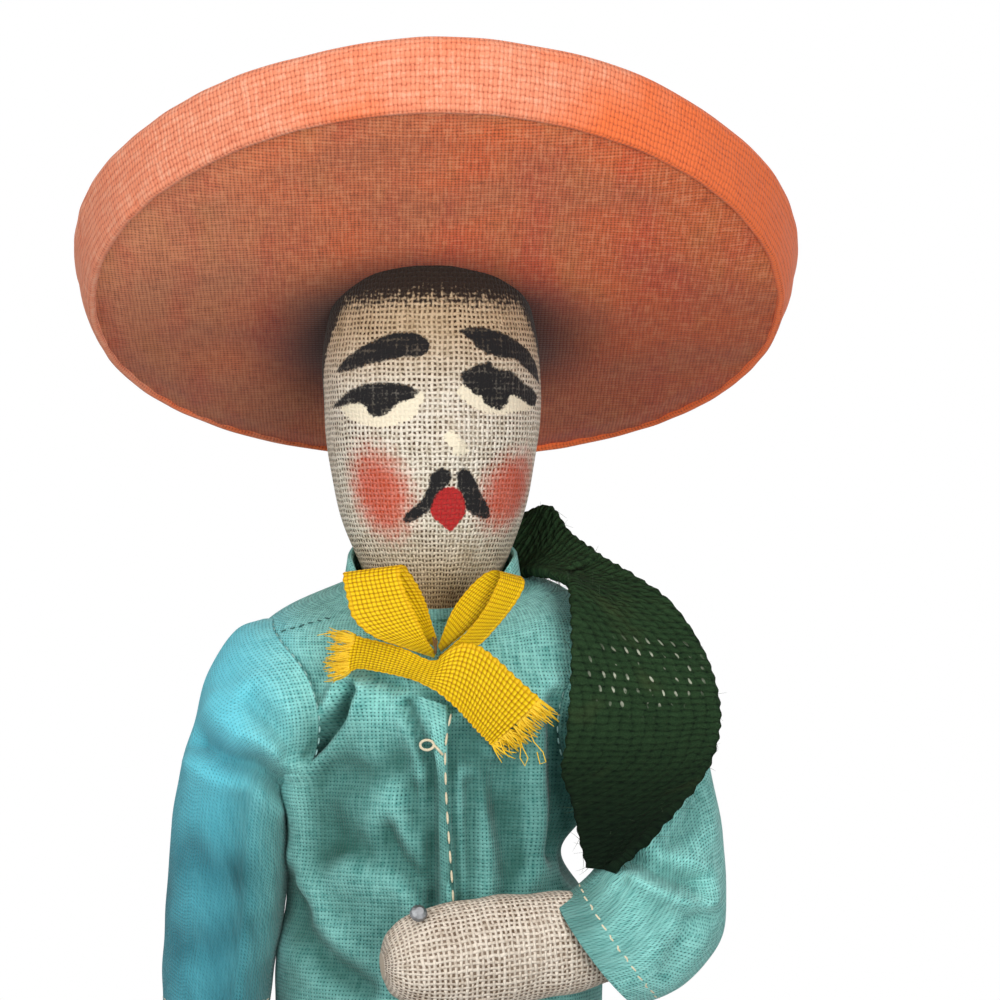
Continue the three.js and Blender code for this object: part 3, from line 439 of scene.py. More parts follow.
def lumps(places, seed, size, count=9):
    """Soft unevenness, mostly within 1: a sum of waves in random directions, each about that long."""
    random = np.random.default_rng(seed)
    waves = random.normal(size=(count, places.shape[-1])) * (2 * np.pi / size)
    return np.sin(places @ waves.T + random.uniform(0, 2 * np.pi, count)).sum(-1) / np.sqrt(count)


def bulge(places, spot, width, height):
    """A soft bump of that height about a spot on the cloth."""
    return height * np.exp(-(((places - spot) / np.asarray(width)) ** 2).sum(-1))


def mask(place, name):
    """A value stored on the mesh, such as how far inside a painted shape a place is."""
    return place.make("Attribute", {}, output=2, attribute_name=name)


def store(made, **values):
    """Keeps values on a mesh, one for each of its points, for its material to read."""
    for key, value in values.items():
        column = made.data.attributes.new(key, "FLOAT", "POINT").data
        column.foreach_set("value", np.ravel(value).astype(np.float32))


def dress(made, body, slot, *nodes):
    """Puts a piece on a body in place of solids; the name of its finish, slot, is not used."""
    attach(made, body)
    if nodes:
        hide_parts(*nodes)
    return made


def weave(place, across, along, share, sway, uneven=0.08):
    """Plain weave at those pitches, each thread filling a share of its pitch, swaying by that much
    of it and thicker in places: its relief, its cover, nought in the holes, and its tone, which is
    random in part and, as painted shade, darker at the edges of each thread."""
    drift = (place.noise(0.35, 3.0) - 0.5) * (sway * 4)
    wobble = (place.noise(1.1, 2.0) - 0.5) * (sway * 1.6)
    u = place.part(0) / across + drift + wobble
    v = place.part(1) / along + drift - wobble
    fu, fv = u.math("FRACT") - 0.5, v.math("FRACT") - 0.5
    turn_over = ((u.math("FLOOR") + v.math("FLOOR")) * 0.5).math("FRACT") * 2 - 0.5
    slub_u = place.stretched((1 / across, SLUB / along, 1.0)).noise(1.0, 1.0) - 0.5
    slub_v = place.stretched((SLUB / across, 1 / along, 1.0)).noise(1.0, 1.0) - 0.5
    half = share * (0.44 + uneven / 2)
    warp, weft = (
        (1 - (off / (slub * uneven * share * 2 + half)) ** 2).math("MAXIMUM", 0.0).math("SQRT")
        for off, slub in ((fu, slub_u), (fv, slub_v)))
    warp_high = warp * (turn_over * (fv * math.pi).math("COSINE") + 0.5)
    weft_high = weft * (0.5 - turn_over * (fu * math.pi).math("COSINE"))
    crown = warp.math("MAXIMUM", weft)
    # The tone is partly random and partly painted shade: the crown term darkens each thread's edges.
    tone_and_shade = crown * 0.3 + (slub_u + slub_v) * uneven * 3 + place.noise(3.0) * 0.5 + 0.1
    return warp_high.math("MAXIMUM", weft_high), crown.rise(0.05, 0.55), tone_and_shade


def gauze(name, thread, hole, painted=None):
    """Open plain weave, its threads pale, uneven and darker at their edges as painted shade, and its
    holes dark, with any paint over it.
    """
    material, shader, place = new_material(name, Sheen_Weight=0.08, Specular_IOR_Level=0.2)
    height, cover, tone_and_shade = weave(place, GAUZE_PITCH, GAUZE_PITCH, 0.53, 0.26, 0.17)
    openness = place.noise(0.13, 3.0).rise(0.34, 0.66) * 0.4 + place.noise(0.9) * 0.3 + 0.44
    colour = tone_and_shade.rise(0.3, 0.8).between(*thread).tint(hole, (1 - cover) * openness)
    if painted:
        colour, height = painted(colour, place, height, cover, tone_and_shade)
    put_on(shader, colour, height, 0.2)
    return material


def face_paint(colour, place, height, cover, tone_and_shade):
    """Paint over the gauze, which is browner towards the chin and darker at the brow, where painted
    shadow of the brim falls: blush rubbed on the threads, then solid cream, red and black dabs, each
    with an edge made ragged by the weave, and hair brushed thinner towards its edge."""
    ragged = (place.noise(1.7, 4.0) - 0.5) * 1.5 + (cover - 0.6) * 0.3
    spotty = (place.noise(0.9, 3.0) - 0.5) * 2.4
    up = place.part(1)
    # Darker towards the chin, and painted shadow of the hat's brim over the brow.
    colour = colour.shaded(BROWN_CHIN_AND_BRIM_SHADOW, (1 - up.rise(3.0, 19.0)) * 0.95 + up.rise(32.0, 45.0) * 0.74)
    blush = (mask(place, "blush") + spotty).rise(-1.2, 2.2)
    colour = colour.tint(srgb(216, 70, 34), blush * (0.7 + cover * 0.14))
    white = (mask(place, "white") + ragged * 0.6).rise(-0.25, 0.15)
    colour = colour.tint(srgb(250, 239, 212), white * (cover * 0.08 + 0.9))
    red = (mask(place, "red") + ragged * 0.4).rise(-0.2, 0.12)
    colour = colour.tint(srgb(190, 28, 32), red * (cover * 0.15 + 0.83))
    black = (mask(place, "black") + ragged * 0.55).rise(-0.22, 0.12)
    colour = colour.tint(srgb(30, 29, 30), black * (1 - tone_and_shade.rise(0.6, 0.85) * 0.12))
    strokes = (place.noise(1.3, 4.0) - 0.5) * 3.2
    brushed = (mask(place, "hair") * 0.42 + strokes + (0.5 - height) * 0.5).rise(-0.35, 0.75)
    colour = colour.tint(srgb(38, 27, 22), brushed * 0.985)
    return colour, height * (1 - white.math("MAXIMUM", black) * 0.55)


head_z = HEAD_FOOT + HEAD_H * np.linspace(0, 1, HEAD_ROWS)
head_a = head_half(head_z)
head_run = lengths(together(head_a, head_z))
head_turn = np.linspace(-np.pi, np.pi, HEAD_COLUMNS + 1)
face_up, face_round = np.meshgrid(head_run, head_turn[:-1] * HEAD_HALF, indexing="ij")
face = together(face_round, face_up).reshape(-1, 2)
masks = {key: np.max([inside(face, on_head(line)) for line in lines], axis=0)
         for key, lines in PAINT.items()}
hair_at = np.interp(np.degrees(head_turn[:-1]), *np.transpose(HAIRLINE))
masks["hair"] = (head_z[:, None] - hair_at).ravel()
rubbed = []
for cheek in CHEEKS:
    top, foot, near, far = on_head(cheek)
    off = (face - (top + foot) / 2) @ np.linalg.inv(np.stack([top - foot, near - far]) / 2)
    rubbed.append(CHEEK_EDGE * (1 - np.linalg.norm(off, axis=1)))
masks["blush"] = np.max(rubbed, axis=0)
head_out = sum(bulge(face, on_head([spot])[0], width, height) for spot, width, height in FACE_BUMPS)
ball = together(np.sin(face[:, 0] / HEAD_HALF) * 15, np.cos(face[:, 0] / HEAD_HALF) * 15, face[:, 1])
head_out = (head_out + lumps(ball, 3, 22) * 0.16).reshape(face_up.shape) * ease(face_up, 0, 6)
bag = head_a[:, None] + head_out
head_grid = together(NECK[0] + bag * np.sin(head_turn[:-1]),
                     NECK[1] - HEAD_DEPTH * bag * np.cos(head_turn[:-1]), head_z[:, None])
head_uv = together(head_turn * HEAD_HALF, head_run[:, None])
face_cloth = gauze("face_gauze", CREAM, HOLE, face_paint)
head = surface("head_gauze", head_grid, head_uv, face_cloth, around=True, ends=(True, True))
for key, value in masks.items():
    hubs = [value[:HEAD_COLUMNS].mean(), value[-HEAD_COLUMNS:].mean()]
    store(head, **{key: np.concatenate([value, hubs])})
dress(head, "head", "gauze", "head_cover", "head_wadding")

# Hat: a stiff round brim tilted back, covered in cotton, its edge a folded band turned up, and
# a tall crown. Underneath is a thinner lining, tucked under the band at a stitched seam.
HAT_AT = np.array([-0.5, 2.0, 222.2])
HAT_TILT = math.radians(26.3)
HAT_TURN = math.radians(2)
HAT_COLUMNS = 300
RIM_ROWS, LINING_ROWS, TOP_ROWS, CROWN_ROWS = 64, 70, 50, 80
RIM_R = 52.2
SADDLE = 1.5
SEAM_R = 49.0
BAND_R, CROWN_R = 50, 18
RIM_PROFILE = [(48.5, 0.5), (48.7, -0.4), (49.3, -0.55), (50.0, 0.6), (50.8, 2.7), (51.5, 5.8),
               (51.95, 8.5), (51.5, 9.25), (50.75, 8.75), (50.0, 5.6), (49.3, 3.2), (48.6, 2.0), (48.3, 1.3)]
CROWN_PROFILE = [(20.6, 1.7), (19.7, 2.1), (19.2, 4.5), (18.4, 11), (16.6, 19), (14.6, 27), (12.6, 33.2),
                 (10.2, 36.1), (6.0, 37.0), (1.0, 37.1)]
FADED_SIDE = (-20.0, -10.5, 0.0)
# Painted shade towards the back of the lining, and the middle of the painted shadow round the head.
LINING_SHADE = srgb(212, 198, 190)
HEAD_SHADOW_AT = (-1.5, 9.0, 0.0)
hat_turn = np.linspace(0, 2 * np.pi, HAT_COLUMNS + 1)
ring = hat_turn[:-1]


def turned(one, other, angle):
    """The two parts of a place turned by an angle, from the first towards the second."""
    return one * math.cos(angle) - other * math.sin(angle), one * math.sin(angle) + other * math.cos(angle)


def hat_surface(radius, height):
    """Points round the hat at radii and heights in its own tilted frame, its brim a shallow saddle."""
    high = height + SADDLE * (radius / RIM_R) ** 2 * np.cos(2 * ring)
    y, z = turned(-radius * np.cos(ring), high, -HAT_TILT)
    x, y = turned(radius * np.sin(ring), y, HAT_TURN)
    return together(x, y, z) + HAT_AT


def round_hat(radius, up):
    """Places round an upright tube at heights, for the unevenness of what is wrapped on it."""
    return together(np.sin(ring) * radius, np.cos(ring) * radius, up)


def disc(radius, angle, front=1):
    """Places on a flat round of cloth, with its front one way or the other."""
    return together(radius * np.sin(angle), front * radius * np.cos(angle))


def points_at(at, run, points):
    """The points that lie at distances along a line whose points' own distances are run."""
    return np.stack([np.interp(at, run, column) for column in points.T], -1)


def profile_line(knots, count):
    """Points evenly along a smooth line through knots, and how far along each is."""
    chord = lengths(knots)
    fine = smooth(np.linspace(0, chord[-1], 400), chord, knots)
    run = lengths(fine)
    at = np.linspace(0, run[-1], count)
    return points_at(at, run, fine), at


def hat_cotton():
    """Coral cotton in plain weave, bleached on one side and here and there, with painted shade in its
    hollows and on its threads' edges and, where it is bleached, painted highlights on their crowns.
    """
    material, shader, place = new_material("coral_cotton", Sheen_Weight=0.1)
    height, cover, tone_and_shade = weave(place, 0.6, 0.88, 0.84, 0.2, 0.2)
    where = whereabouts(place.tree)
    side = where.make("VectorMath", {0: where, 1: FADED_SIDE}, "Value", operation="DOT_PRODUCT")
    faded = (where.noise(45.0, 3.0) + side * 0.2).rise(0.42, 0.68)
    colour = faded.between(srgb(254, 122, 62), srgb(246, 151, 113))
    colour = colour.tint(srgb(126, 40, 16), (1 - cover) * 0.75)
    # Painted shade on the threads' edges and, where bleached, painted highlights on their crowns.
    colour = colour.tint(srgb(214, 92, 52), (1 - tone_and_shade.rise(0.3, 0.62)) * 0.35)
    colour = colour.tint(srgb(255, 205, 175), tone_and_shade.rise(0.6, 0.85) * faded * 0.35)
    # Painted shade in the hollows of the weave.
    colour = colour.tint(srgb(176, 66, 38), (1 - height.rise(0.15, 0.8)) * 0.42)
    put_on(shader, colour, height, 0.14)
    return material


def lining_cotton():
    """Thin brown-orange cotton, its dye run into red and golden streaks, tan on the right side, with
    painted shade in its hollows, on its threads' edges and towards the back, painted highlights on
    the threads' crowns, and painted shadow round the head where the crown opens above it."""
    material, shader, place = new_material("hat_lining_cotton", Sheen_Weight=0.08)
    height, cover, tone_and_shade = weave(place, 0.5, 0.58, 0.84, 0.14, 0.2)
    streak = place.stretched((1.0, 0.35, 1.0))
    across, back = place.part(0), place.part(1)
    colour = place.noise(0.05, 4.0).rise(0.36, 0.62).between(srgb(224, 124, 80), srgb(246, 118, 66))
    colour = colour.tint(srgb(226, 158, 116), (1 - across.rise(-44.0, -6.0)) * 0.6)
    colour = colour.tint(srgb(222, 104, 46), across.rise(6.0, 42.0) * 0.6)
    colour = colour.tint(srgb(222, 78, 54), streak.noise(0.1, 4.0).rise(0.46, 0.68) * 0.5)
    colour = colour.tint(srgb(222, 146, 84), streak.noise(0.15, 5.0).rise(0.5, 0.74) * 0.4)
    colour = colour.tint(srgb(84, 32, 16), (1 - cover) * 0.85)
    # Painted shade in the weave's hollows and on the threads' edges, and painted highlights on their crowns.
    colour = colour.tint(srgb(112, 42, 24), (1 - height.rise(0.15, 0.8)) * 0.5)
    colour = colour.tint(srgb(132, 54, 32), (1 - tone_and_shade.rise(0.25, 0.6)) * 0.55)
    colour = colour.tint(srgb(252, 176, 130), tone_and_shade.rise(0.58, 0.85) * 0.4)
    # Painted shade, darker towards the back of the brim.
    colour = colour.shaded(LINING_SHADE, back.rise(-26.0, 12.0))
    # Painted shadow round the head, where the crown opens above it.
    from_head = place.make("VectorMath", {0: place, 1: HEAD_SHADOW_AT}, "Value", operation="DISTANCE")
    colour = colour.tint(srgb(46, 18, 10), (1 - from_head.rise(14.5, 30.0)) * 0.96)
    put_on(shader, colour, height, 0.1)
    return material


coral = hat_cotton()
rim_line, rim_run = profile_line(RIM_PROFILE, RIM_ROWS)
wander = (0.14 * np.sin(5 * ring + 0.8) + 0.08 * np.sin(11 * ring + 2.1)) * ease(rim_line[:, 1:], 0, 9)
rim_soft = 0.07 * lumps(round_hat(BAND_R, rim_run[:, None]), 8, 13)
rim_grid = hat_surface(rim_line[:, :1] + wander * 0.6 + rim_soft, rim_line[:, 1:] + wander)
rim_uv = together(hat_turn * BAND_R, np.append(rim_run, rim_run[-1] + 1.3)[:, None])
rim = surface("hat_band_cloth", rim_grid, rim_uv, coral, around=True, loop=True)
dress(rim, "head", "hat_cloth", "hat_edge_band")
lining_r = np.linspace(9, SEAM_R + 0.2, LINING_ROWS)[:, None]
pucker = 0.1 * np.exp(-(((SEAM_R - lining_r) / 2.2) ** 2)) * np.sin(64 * ring + 2 * np.sin(5 * ring))
lining_up = -0.85 + 0.75 * ease(lining_r, 43, 49) + pucker + 0.16 * lumps(disc(lining_r, ring), 5, 26)
lining = surface("hat_lining_cloth", hat_surface(lining_r, lining_up), disc(lining_r, hat_turn, -1),
                 lining_cotton(), around=True)
dress(lining, "head", "hat_lining", "hat_brim_lining")
top_r = np.linspace(12, SEAM_R - 0.8, TOP_ROWS)[:, None]
top_grid = hat_surface(top_r, 1.65 + 0.14 * lumps(disc(top_r, ring), 6, 30))
brim_top = surface("hat_top_cloth", top_grid, disc(top_r, hat_turn), coral, around=True, flip=True)
dress(brim_top, "head", "hat_cloth", "hat_brim_top")
crown_line, crown_run = profile_line(CROWN_PROFILE, CROWN_ROWS)
crown_r, crown_up = crown_line[:, :1], crown_line[:, 1:]
crown_dent = 0.3 * lumps(round_hat(CROWN_R, crown_up), 9, 30)
crown_dent *= ease(crown_up, 2, 8) * (1 - ease(crown_up, 35, 37))
crown_uv = together(hat_turn * CROWN_R, crown_run[:, None])
crown_grid = hat_surface(crown_r + crown_dent, crown_up)
crown = surface("hat_crown_cloth", crown_grid, crown_uv, coral, around=True, ends=(False, True))
dress(crown, "head", "hat_cloth", "hat_crown")
refinish(mottled("buckram", srgb(176, 152, 118), srgb(140, 118, 88), 0.95, 0.3, 2.0, steep=False, solid=True),
         "hat_brim_board")

# Shirt: plain-weave cotton, two fronts and a back sewn at the sides and shoulders over the
# stuffed trunk. It is creased at the armpit and drawn in beside the front strip. Creases, grooves
# of painted shade and the edges of painted bluish light are places in the picture; a crease has a
# width and a depth.
HIP_Z = 112.0
SHIRT_UP = [1.5, 9, 18, 29, 38, 47, 57, 63, 66.5, 69.5]
SHIRT_SIZE = [(23.8, 15.9, 0), (23.4, 15.4, 0), (22.8, 15, 0), (21.9, 15, 0), (22, 15, 0),
              (24.5, 14.6, 0), (26.4, 13, 0), (26, 12, 0.5), (21.5, 12.2, 1.4), (12.9, 12.4, 1.9)]
SHIRT_ROWS, SHIRT_COLUMNS = 170, 300
SIDE_COLUMN, FRONT_COLUMN, BACK_MARK = 68, 150, 84
CREASES = [
    ([(350, 690), (340, 712), (320, 738), (301, 757)], 8, 2.6),
    ([(303, 768), (345, 776), (396, 770)], 15, 0.9),
    ([(362, 690), (384, 712), (424, 726)], 16, -0.9),
    ([(414, 790), (424, 845), (428, 905)], 10, 1.1),
    ([(470, 786), (471, 850), (472, 905)], 8, 1.0),
    ([(498, 770), (504, 840), (506, 910)], 11, 0.8),
    ([(536, 740), (542, 800), (538, 870)], 12, -0.7),
    ([(302, 770), (303, 830), (298, 880)], 13, -0.9),
    ([(286, 880), (300, 930), (330, 965), (366, 990)], 12, 1.3),
    ([(318, 890), (350, 870), (392, 880)], 15, -0.8),
    ([(388, 830), (404, 866), (430, 900)], 9, 1.0),
    ([(556, 700), (556, 790), (558, 850)], 10, 1.3),
    ([(340, 666), (385, 681), (420, 694), (455, 709)], 5, 0.9),
    ([(409, 703), (420, 733), (431, 765), (433, 830), (434, 893), (435, 960)], 6, 1.5),
    ([(452, 748), (452, 797), (458, 893), (461, 960)], 4, 0.6),
    ([(352, 700), (368, 742), (390, 800)], 17, -0.7),
    ([(320, 800), (352, 850), (400, 872)], 16, 0.7),
    ([(462, 740), (492, 790), (520, 862)], 13, 0.8),
    ([(262, 640), (300, 624), (346, 609)], 3, 0.35),
]
# Grooves darkened by painted shade beside the front strip and at the armpit, and how dark each is.
GROOVES = [
    ([(409, 700), (420, 733), (431, 765), (434, 830), (435, 893), (436, 960)], 0.9),
    ([(452, 720), (452, 748), (452, 797), (458, 893), (461, 960)], 0.35),
    ([(347, 696), (338, 715), (320, 738), (303, 755)], 0.55),
]
GROOVE_W = 4
# Where the painted bluish light ends, and where painted shade lies: down the right sleeve, over the chest and
# left chest, and less at a pale spot.
BLUE_ACROSS, BLUE_DOWN, BLUE_LEAN = (215, 325), (700, 800), 25
RIGHT_SLEEVE, RIGHT_SLEEVE_DOWN, LEFT_SLEEVE = (285, 315), (680, 900), (575, 625)
CHEST_DOWN, WAIST_DOWN = (680, 745), (850, 930)
LEFT_CHEST, LEFT_CHEST_TOP, LEFT_CHEST_FOOT = (440, 500), (690, 740), (860, 930)
PALE_SPOT, PALE_SIZE = (395, 785), (32, 60)
HOLLOW_AT, HOLLOW_SIZE, HOLLOW_DEPTH = (32, 1.5), (4.4, 0.62), 5.4
SHOULDER_X, SHOULDER_W, SHOULDER_RISE = 16, 6, 1.7


def trunk_size(height):
    """Half the width, half the depth and the middle of the trunk at a height above the hips."""
    return np.moveaxis(smooth(height, SHIRT_UP, SHIRT_SIZE), -1, 0)


def trunk_point(height, angle, swell=0.0):
    """A point of the shirt's body at a height above the hips and an angle from the front."""
    half_a, half_b, middle = trunk_size(height)
    upper = ease(height, 55, 69.5)
    y = -(half_b + swell) * np.cos(angle)
    x = NECK[0] * upper + (half_a + swell) * np.sin(angle)
    return together(x, middle + y, HIP_Z + height + 0.3 * upper * y)


def off_line(spots, line):
    """How far places in the picture are from a line of points."""
    line = np.asarray(line, float)
    start, edge = line[:-1], np.diff(line, axis=0)
    rel = spots[..., None, :] - start
    t = np.clip((rel * edge).sum(-1) / (edge**2).sum(-1), 0, 1)
    return np.linalg.norm(rel - t[..., None] * edge, axis=-1).min(axis=-1)


def creased(points, creases):
    """How far cloth stands out at points seen in the picture: in along each crease and out beside it."""
    spots = shown(points)
    total = np.zeros(points.shape[:-1])
    for line, width, depth in creases:
        far = off_line(spots, line) / width
        total += depth * (0.45 * np.exp(-((far - 2) ** 2)) - np.exp(-(far**2)))
    return total


def unit(vectors):
    """Vectors made one long."""
    return vectors / np.maximum(np.linalg.norm(vectors, axis=-1, keepdims=True), 1e-9)


def normals_of(grid, around):
    """Which way a grid of points faces at each of them: square to its rows and its columns."""
    if around:
        across = np.gradient(np.concatenate([grid[:, -1:], grid, grid[:, :1]], 1), axis=1)[:, 1:-1]
    else:
        across = np.gradient(grid, axis=1)
    return unit(np.cross(across, np.gradient(grid, axis=0)))


def cloth_uv(grid, middle):
    """Places on cloth by length: across from a middle column, and up along each column."""
    across = np.linalg.norm(np.diff(grid, axis=1, prepend=grid[:, :1]), axis=-1).cumsum(axis=1)
    up = np.linalg.norm(np.diff(grid, axis=0, prepend=grid[:1]), axis=-1).cumsum(axis=0)
    return together(across - across[:, [middle]], up)


def face_as(made, facing):
    """Lights a piece as part of the larger grid that it was taken from."""
    made.data.normals_split_custom_set_from_vertices(facing.reshape(-1, 3).tolist())


def cotton(name, light, dark, hole, pitch=0.5, fresh=None, shading=None):
    """Plain-weave cotton with small holes, faded in places, tinted with painted bluish light where it
    is marked so and darkened by painted shade where it is marked so."""
    material, shader, place = new_material(name, Sheen_Weight=0.15, Specular_IOR_Level=0.25)
    height, cover, tone_and_shade = weave(place, pitch, pitch * 1.04, 0.68, 0.09, 0.2)
    colour = tone_and_shade.rise(0.2, 0.85).between(dark, light)
    colour = colour.tint(light, place.noise(0.06, 3.0).rise(0.45, 0.75) * 0.3)
    if fresh:
        # Painted bluish light, then painted shade in a darker teal or blue.
        colour = colour.tint(fresh, mask(place, "fresh") * 0.85)
        shade_colour = mask(place, "fresh").between(*shading)
        colour = colour.tint(shade_colour, mask(place, "soiled") * (place.noise(0.11, 4.0) * 0.9 + 0.55))
    openness = place.noise(0.16, 3.0).rise(0.36, 0.64) * 0.5 + place.noise(1.0) * 0.4 + 0.26
    openness = openness * (1 - mask(place, "fresh") * 0.5)
    put_on(shader, colour.tint(hole, (1 - cover) * openness), height, 0.12)
    return material


def in_folds(out):
    """How much more painted shade cloth gets in its folds, and how much less where it stands out."""
    return np.clip(-0.3 * out, -0.2, 0.5)


def mark_fresh(made, grid, shading=0.0):
    """Stores where painted bluish light falls, on the doll's right, and where painted shade falls:
    over the chest, less at the waist and above, and down the right sleeve."""
    spots = shown(grid)
    across, down = np.moveaxis(spots, -1, 0)
    # Painted bluish light on the doll's right side.
    fresh = 1 - ease(across, BLUE_ACROSS[0], BLUE_ACROSS[1] - BLUE_LEAN * ease(down, *BLUE_DOWN))
    right, left = 1 - ease(across, *RIGHT_SLEEVE), ease(across, *LEFT_SLEEVE)
    # Painted shade over the chest, lighter at the waist and a pale spot, darker at the left chest and in the
    # grooves.
    chest = 0.7 * ease(down, *CHEST_DOWN) * (1 - 0.35 * ease(down, *WAIST_DOWN))
    left_chest = ease(across, *LEFT_CHEST) * ease(down, *LEFT_CHEST_TOP) * (1 - ease(down, *LEFT_CHEST_FOOT))
    chest += 0.12 * left_chest
    chest -= bulge(spots, PALE_SPOT, PALE_SIZE, 0.2)
    chest += sum(depth * np.exp(-((off_line(spots, line) / GROOVE_W) ** 2)) for line, depth in GROOVES)
    soiled = right * 0.7 * ease(down, *RIGHT_SLEEVE_DOWN) + (1 - right - left) * chest + left * 0.1 + shading
    store(made, fresh=fresh, soiled=np.clip(soiled, 0, 0.85))


body_cotton = cotton("shirt_cotton", srgb(158, 230, 222), srgb(84, 166, 160), srgb(18, 72, 72),
                     fresh=srgb(104, 218, 240), shading=(srgb(36, 86, 76), srgb(16, 82, 94)))
shirt_h, shirt_turn = np.meshgrid(np.linspace(0.6, 69.8, SHIRT_ROWS),
                                  np.linspace(-np.pi, np.pi, SHIRT_COLUMNS + 1)[:-1], indexing="ij")
shirt_flat = trunk_point(shirt_h, shirt_turn)
shirt_front = np.clip(np.cos(shirt_turn) * 3, 0, 1)
shirt_out = creased(shirt_flat, CREASES) * shirt_front * (1 - ease(shirt_h, 60, 68))
shirt_out += 0.35 * lumps(shirt_flat, 12, 17) * (1 - ease(shirt_h, 58, 68))
shirt_out += 0.35 * np.cos(13 * shirt_turn + 2 * np.sin(3 * shirt_turn)) * ease(-shirt_h, -26, -2)
hollow = bulge(together(shirt_h, shirt_turn), HOLLOW_AT, HOLLOW_SIZE, HOLLOW_DEPTH)
shirt_grid = trunk_point(shirt_h, shirt_turn, shirt_out - hollow)
left_shoulder = SHOULDER_RISE * np.exp(-(((shirt_grid[..., 0] - SHOULDER_X) / SHOULDER_W) ** 2))
shirt_grid[..., 2] += left_shoulder * ease(shirt_h, 60, 67) * (1 - ease(shirt_h, 68.6, 69.8))
shirt_facing = normals_of(shirt_grid, True)
back_columns = np.arange(SHIRT_COLUMNS - SIDE_COLUMN, SHIRT_COLUMNS + SIDE_COLUMN + 1) % SHIRT_COLUMNS
for node, columns, middle, flat_size in (
    ("shirt_front_right", np.arange(SIDE_COLUMN, FRONT_COLUMN + 1), -1, (0.036, 0.072)),
    ("shirt_front_left", np.arange(FRONT_COLUMN, SHIRT_COLUMNS - SIDE_COLUMN + 1), 0, (0.036, 0.072)),
    ("shirt_back", back_columns, BACK_MARK, (0.062, 0.072)),
):
    panel_uv = cloth_uv(shirt_flat[:, columns], middle)
    panel = surface(node + "_cloth", shirt_grid[:, columns], panel_uv, body_cotton)
    face_as(panel, shirt_facing[:, columns])
    mark_fresh(panel, shirt_grid[:, columns], in_folds(shirt_out[:, columns]))
    dress(panel, "torso", "shirt_cotton", node)

# Trunk: stuffed gauze inside the shirt. Only its top shows, drawn in round the neck, and only
# that is drawn; the shirt hides the rest.
TRUNK_RIM_H = 69.0
TRUNK_ROWS, TRUNK_COLUMNS = 16, 120
TRUNK_NECK_R, TRUNK_NECK_Z = 7.4, 176.9


def mixed(one, other, share):
    """Points a share of the way from one to another."""
    return one * (1 - share) + other * share


trunk_turn = np.linspace(-np.pi, np.pi, TRUNK_COLUMNS + 1)
trunk_in = np.linspace(0, 1, TRUNK_ROWS)[:, None, None]
trunk_rim = trunk_point(TRUNK_RIM_H, trunk_turn[:-1]) - [0, 0, 0.4]
trunk_neck = together(NECK[0] + TRUNK_NECK_R * np.sin(trunk_turn[:-1]),
                      NECK[1] - TRUNK_NECK_R * np.cos(trunk_turn[:-1]), TRUNK_NECK_Z)
trunk_grid = mixed(trunk_rim, trunk_neck, trunk_in) + [0, 0, 1.0] * np.sin(np.pi * trunk_in)
trunk_top = surface("trunk_top_gauze", trunk_grid, together(trunk_turn * 10, trunk_in[..., 0] * 6),
                    gauze("trunk_gauze", CREAM, HOLE), around=True)
dress(trunk_top, "torso", "gauze", "trunk")

# Collar: a doubled band of the same cotton standing on the neckline, low in front under the bow.
# It is drawn as one strip of rows, up its outside, over the fold and down its inside.
COLLAR_FOOT, COLLAR_H = 69.5, 5.2
COLLAR_COLUMNS, OUTSIDE_ROWS, INSIDE_ROWS = 180, 14, 10
COLLAR_FOLD_UP, COLLAR_FOLD_IN, COLLAR_T = [1.03, 1.02], [0.15, 0.5], 0.75
collar_turn = np.linspace(-np.pi, np.pi, COLLAR_COLUMNS + 1)
collar_up = np.concatenate([np.linspace(-0.12, 1, OUTSIDE_ROWS), COLLAR_FOLD_UP,
                            np.linspace(0.97, 0.1, INSIDE_ROWS)])[:, None]
collar_in = np.concatenate([np.zeros(OUTSIDE_ROWS), COLLAR_FOLD_IN, np.full(INSIDE_ROWS, COLLAR_T)])[:, None]
collar_base = trunk_point(COLLAR_FOOT, collar_turn[:-1])
collar_out = unit((collar_base - NECK) * [1, 1, 0])
collar_back = ease(collar_out[:, 1], -0.95, -0.2)
collar_swell = -0.8 * collar_up - collar_in + 0.25 * np.sin(5 * collar_turn[:-1] + 1)
collar_lift = 0.1 + collar_up * (0.25 + 0.75 * collar_back) * COLLAR_H
collar_grid = collar_base + collar_out * collar_swell[..., None] + [0, 0, 1] * collar_lift[..., None]
collar_uv = together(collar_turn * 13, np.linspace(0, 11, len(collar_up))[:, None])
collar = surface("shirt_collar_cloth", collar_grid, collar_uv, body_cotton, around=True)
mark_fresh(collar, collar_grid)
dress(collar, "torso", "shirt_cotton", "shirt_collar")

# Front strip: the folded edge of the opening, flared at the neckline, with a row of cream running
# stitches and a small loop of thread for a button. A teal row crosses the right shoulder. Edges
# and rows are lines of places in the picture.
STRIP_LEFT = [(414, 694), (428, 730), (436, 765), (438, 830), (440, 898), (441, 1050)]
STRIP_RIGHT = [(449, 706), (448, 735), (448, 765), (451, 830), (456, 898), (459, 1050)]
STRIP_ROWS, STRIP_COLUMNS = 110, 13
STITCH_LINE = [(451, 714), (446, 742), (446, 790), (449, 840), (453, 895), (456, 990)]
STITCH_TAPER = np.array([0.45, 1, 1, 1, 0.45])
YOKE_SEAM = [(264, 639), (285, 631), (310, 624), (336, 616)]
LOOP_AT, LOOP_SIZE, LOOP_TAIL = np.array([427, 745]), np.array([6.8, 5]), [(437, 748), (443, 755)]


